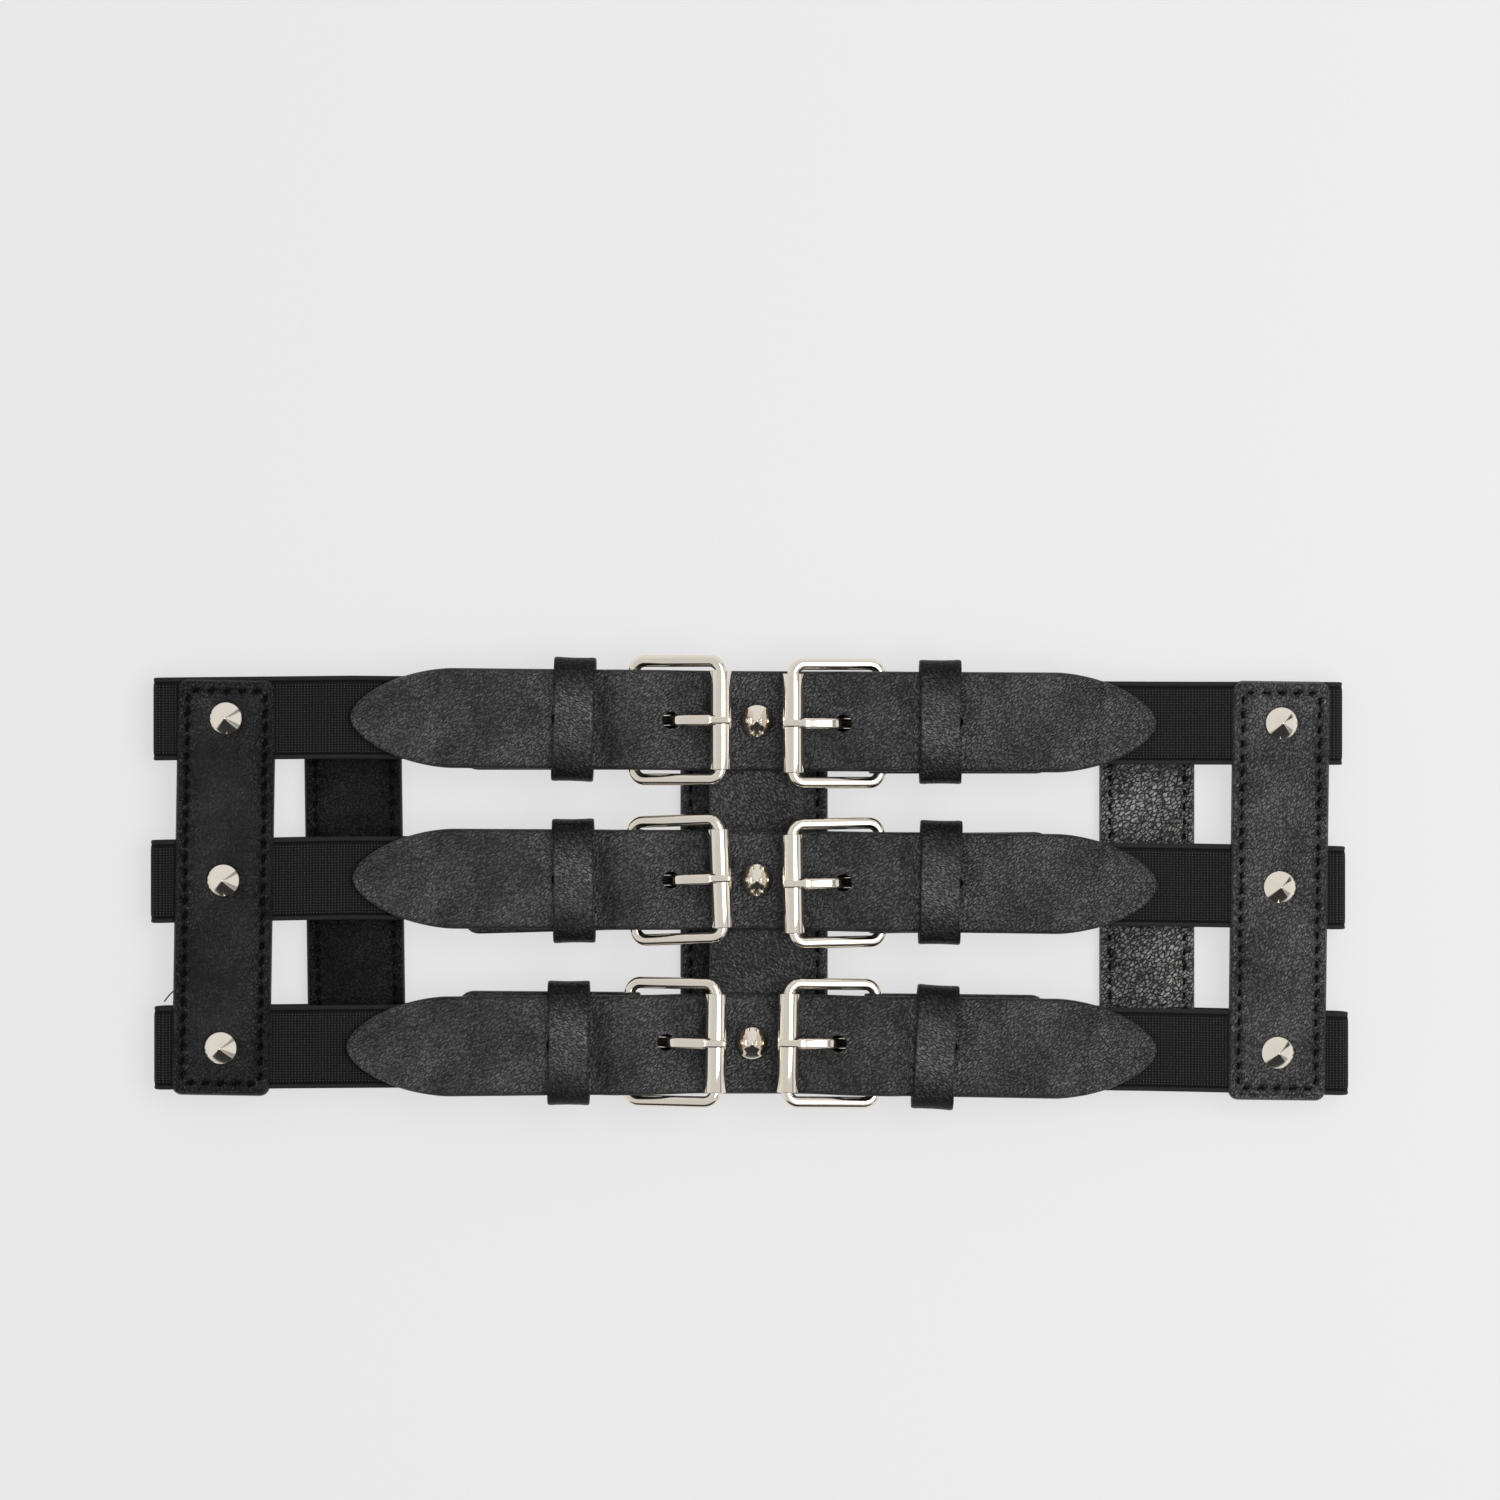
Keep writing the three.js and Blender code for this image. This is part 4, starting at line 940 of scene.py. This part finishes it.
def stitched_panel(name, place, thick, level, material, studs=(), spacing=0.4, inset=2.6, end_inset=3, loose=()):
    """A folded and stitched leather strip with a rim and sunk stitches. A thread may hang loose from its edge."""
    width, height = place["width"], place["height"]
    grid_x, grid_y = np.meshgrid(edge_lines(width, spacing), edge_lines(height, spacing))
    x, y = onto_outline(grid_x, grid_y, width, height, PANEL_CORNER)
    depth = np.clip(inside_distance(x, y, width, height, PANEL_CORNER), 0, None)
    edge = np.clip(depth / 0.95, 0, 1)
    round_edge = (1 - (1 - edge) ** 2.3) ** (1 / 2.3)
    z = thick / 2 + thick / 2 * round_edge
    side = np.minimum(width / 2 - np.abs(x) - inset, height / 2 - np.abs(y) - end_inset)
    z = z + (0.08 * gauss(depth - 0.7, 0.25) - 0.2 * gauss(depth - 1.25, 0.32)) * (thick > 3)
    z = z - 0.3 * gauss(side, 0.6)
    z = z + 0.28 * smooth((side - 0.5) / 4)
    z = z + 0.45 * ripple(x * 1.3 + place["x"], y) * smooth(depth / 3)
    threads = Form()
    for stitch_x, stitch_y, turn in stitch_places(width, height, inset, end_inset):
        along = (y - stitch_y) if turn == 90 else (x - stitch_x)
        off = (x - stitch_x) if turn == 90 else (y - stitch_y)
        z = z - 0.95 * np.exp(-((along / 1.0) ** 4)) * gauss(off, 0.72)
        z = z + 0.26 * gauss(np.abs(along) - STITCH_PITCH / 2, 0.7) * gauss(np.abs(off) - 0.8, 0.5)
        run = np.linspace(-0.5, 0.5, 7) * STITCH_LENGTH
        sink = thick - 0.75 - 0.5 * (2 * run / STITCH_LENGTH) ** 2
        zero = np.zeros(7)
        line = [stitch_x + zero, stitch_y + run] if turn == 90 else [stitch_x + run, stitch_y + zero]
        add_tube(threads, np.stack([*line, sink], axis=1), THREAD_RADIUS, 7, kind=1)
    local = [turned([[stud_x - place["x"], stud_y - place["y"], 0]], -place["turn"])[0] for stud_x, stud_y in studs]
    for stud_x, stud_y, _ in local:
        ring = np.hypot(x - stud_x, y - stud_y)
        z = z - 0.2 * gauss(ring - STUD["radius"] + 0.5, 1.2)

    for points in loose:
        add_tube(threads, points, THREAD_RADIUS / 2, 7, kind=1)

    def seat(points):
        return turned(points, place["turn"]) + [place["x"], place["y"], level]

    top = np.stack([x, y, z], axis=-1)
    coarse_x, coarse_y = np.meshgrid(edge_lines(width, 3), edge_lines(height, 3))
    low_x, low_y = onto_outline(coarse_x, coarse_y, width, height, PANEL_CORNER)
    low_depth = np.clip(inside_distance(low_x, low_y, width, height, PANEL_CORNER), 0, None)
    low_edge = np.clip(low_depth / 0.95, 0, 1)
    low_z = thick / 2 * (1 - (1 - (1 - low_edge) ** 2.3) ** (1 / 2.3))
    under = np.stack([low_x, low_y, low_z], axis=-1)
    form = Form()
    along, across = down_walls(x, y, width, height, thick / 2 * (1 - round_edge))
    form.add(np.swapaxes(top, 0, 1), np.swapaxes(along, 0, 1), np.swapaxes(across, 0, 1))
    form.add(under, *down_walls(low_x, low_y, width, height, low_z))
    form.move(seat)
    made = form.build(name, [material, THREAD])
    threads.move(seat)
    sewn = threads.build(f"{name}_stitches", [material, THREAD])
    join(made, sewn)
    settle(made, "leather", name)
    return made


def join(made, other):
    """Joins another object's mesh into a piece."""
    with bpy.context.temp_override(active_object=made, selected_editable_objects=[made, other]):
        bpy.ops.object.join()


def middle_panel():
    place = MIDDLE_PANEL
    half_height, corner = place["height"] / 2, place["corner"]
    near = np.array([0, 0.05, 0.2, 0.45, 0.8, 1.3, 2, 2.9])
    y = np.concatenate([-half_height + near, np.linspace(-half_height + 3.3, half_height - 3.3, 150),
                        half_height - near[::-1]])
    behind = np.clip(half_height - np.abs(y), 0, corner)
    swell = place["bulge"] * np.sin(y / (place["height"] - 2 * corner) * 2 * math.pi) ** 2
    half = place["width"] / 2 - corner + np.sqrt(corner**2 - (corner - behind) ** 2) + swell / 2
    line = np.stack([np.full(len(y), place["x"]), place["y"] + y, np.full(len(y), FRONT_LEVEL + place["thick"] / 2)],
                    axis=1)
    form = Form()
    add_strip(form, line, (-1, 0, 0), (0, 0, 1), half, place["thick"], 0.7, 30, 6,
              lift=lambda along, across: 0.5 * ripple(along, across))
    made = form.build("middle_panel", [STRAP_LEATHER])
    bores = Form()
    for row in ROWS:
        add_round(bores, [(STUD["shank"] + FIT_GAP, FRONT_LEVEL - 2), (STUD["shank"] + FIT_GAP, FRONT_LEVEL + 9)], 24,
                  place=(row["x"], row["y"], 0))
    cut(made, bores)
    settle(made, "leather", "middle_panel")


# Studs and snaps
def stud(name, x, y, level, grip):
    radius, rim, apex = STUD["radius"], STUD["rim"], STUD["apex"]
    under, over = -REST_GAP, grip + REST_GAP
    soft = 0.09
    form = Form()
    add_round(form, [
        (0.001, under - STUD["head_thick"]), (STUD["head"] - 0.2, under - STUD["head_thick"]),
        (STUD["head"], under - STUD["head_thick"] + 0.15), (STUD["head"], under - 0.1), (STUD["head"] - 0.1, under),
        (STUD["shank"], under), (STUD["shank"], over), (radius - soft, over), (radius, over + soft),
        (radius, over + rim - soft), (radius - soft * 0.4, over + rim - soft * 0.2),
        (radius - soft * 1.6, over + rim + soft), (apex, over + STUD["height"] - soft),
        (apex * 0.55, over + STUD["height"] - soft * 0.3), (0.001, over + STUD["height"]),
    ], 96, place=(x, y, level))
    settle(form.build(name, [NICKEL]), "nickel", name, crease=25)


def snap(row):
    over = CLOSURE_LEVELS["right"] + CLOSURE_THICK + REST_GAP
    form = Form()
    add_round(form, [
        (0.001, 0), (SNAP["cap"] - 0.5, 0), (SNAP["cap"] - 0.15, 0.12), (SNAP["cap"], 0.35),
        (SNAP["cap"] - 0.1, SNAP_CAP), (SNAP["shank"], SNAP_CAP), (SNAP["shank"], over), (SNAP["head"], over),
        (SNAP["head"], over + 0.3), (SNAP["head"] - 0.3, over + SNAP_CAP), (1.6, over + SNAP_CAP), (1.4, over + 0.3),
        (0.001, over + 0.3),
    ], 48, place=(SNAP["x"], row["y"], 0))
    name = f"closure_snap_{row['name']}"
    settle(form.build(name, [NICKEL]), "nickel", name)


def side_stud_place(row, side):
    host = FRONT_PANELS[side["name"]]
    y = row["y"] + float(drift(row, host["x"]))
    return host["x"] - (y - host["y"]) * math.tan(math.radians(host["turn"])), y


for row in ROWS:
    strap(row)
    stud(f"middle_stud_{row['name']}", row["x"], row["y"], FRONT_LEVEL, OVER_PANEL + STRAP_THICK)
    snap(row)
    for side in SIDES:
        buckle(row, side)
        tab(row, side)
        keeper(row, side)
        elastic(row, side)
        stud(f"side_stud_{row['name']}_{side['name']}", *side_stud_place(row, side), SIDE_LEVEL, PANEL_THICK)
middle_panel()
for side in SIDES:
    name = side["name"]
    studs = [side_stud_place(row, side) for row in ROWS]
    front, back = LEATHERS[name]
    loose = [LOOSE_THREAD] if name == "left" else []
    stitched_panel(f"front_panel_{name}", FRONT_PANELS[name], PANEL_THICK, SIDE_LEVEL, front, studs, loose=loose)
    stitched_panel(f"back_panel_{name}", BACK_PANELS[name], PANEL_THICK, 0, back, spacing=0.6)
    stitched_panel(f"closure_panel_{name}", CLOSURE_PANELS[name], CLOSURE_THICK, CLOSURE_LEVELS[name],
                   CLOSURE_LEATHER, spacing=0.6)

# Floor
floor_form = Form()
reach = 3000
floor_form.add(np.array([[(-reach, -reach, 0), (reach, -reach, 0)], [(-reach, reach, 0), (reach, reach, 0)]], float),
               np.array([[0], [1]]), np.array([[0, 1]]))
floor_look = Look("floor")
floor_look.set(Base_Color=(0.2, 0.2, 0.2, 1), Roughness=0.9, Specular_IOR_Level=0.0,
               Emission_Color=(1, 1, 1, 1), Emission_Strength=FLOOR_GLOW)
floor = floor_form.build("floor", [floor_look.material])

# Studio light: a bright room, a dark side below the picture and a large soft key from the right
world = bpy.data.worlds.new("studio")
world.use_nodes = True
bpy.context.scene.world = world
tree = world.node_tree
background = tree.nodes["Background"]
background.inputs["Strength"].default_value = 0.95
direction = tree.nodes.new("ShaderNodeTexCoord").outputs["Generated"]


def facing(toward, low, high):
    """How much a direction faces a side of the room, from 0 to 1."""
    dot = tree.nodes.new("ShaderNodeVectorMath")
    dot.operation = "DOT_PRODUCT"
    tree.links.new(direction, dot.inputs[0])
    dot.inputs[1].default_value = toward
    span = tree.nodes.new("ShaderNodeMapRange")
    span.interpolation_type = "SMOOTHSTEP"
    span.inputs["From Min"].default_value = low
    span.inputs["From Max"].default_value = high
    tree.links.new(dot.outputs["Value"], span.inputs["Value"])
    return span.outputs["Result"]


def mixed(share, first, second):
    made = tree.nodes.new("ShaderNodeMix")
    made.data_type = "RGBA"
    tree.links.new(share, made.inputs["Factor"])
    for socket, value in ((made.inputs[6], first), (made.inputs[7], second)):
        if isinstance(value, bpy.types.NodeSocket):
            tree.links.new(value, socket)
        else:
            socket.default_value = (value, value, value, 1)
    return made.outputs[2]


room = mixed(facing((0, 0, 1), 0.0, 0.9), 0.85, 0.7)
room = mixed(facing((1, 0, 0), 0.72, 0.76), room, 0.35)
room = mixed(facing((1, 0, 0), 0.86, 0.9), room, 0.85)
room = mixed(facing((0, -1, 0), 0.62, 0.78), room, 0.04)
room = mixed(facing((math.cos(math.radians(33)), math.sin(math.radians(33)), 0), 0.988, 0.995), room, 0.08)
tree.links.new(room, background.inputs["Color"])

key_data = bpy.data.lights.new("key", "AREA")
key_data.shape = "RECTANGLE"
key_data.size = KEY["wide"]
key_data.size_y = KEY["tall"]
key_data.energy = KEY["power"]
key = bpy.data.objects.new("key", key_data)
key.location = in_metres(KEY["place"])
key.visible_camera = False
bpy.context.scene.collection.objects.link(key)

bpy.context.scene.view_settings.view_transform = "Standard"
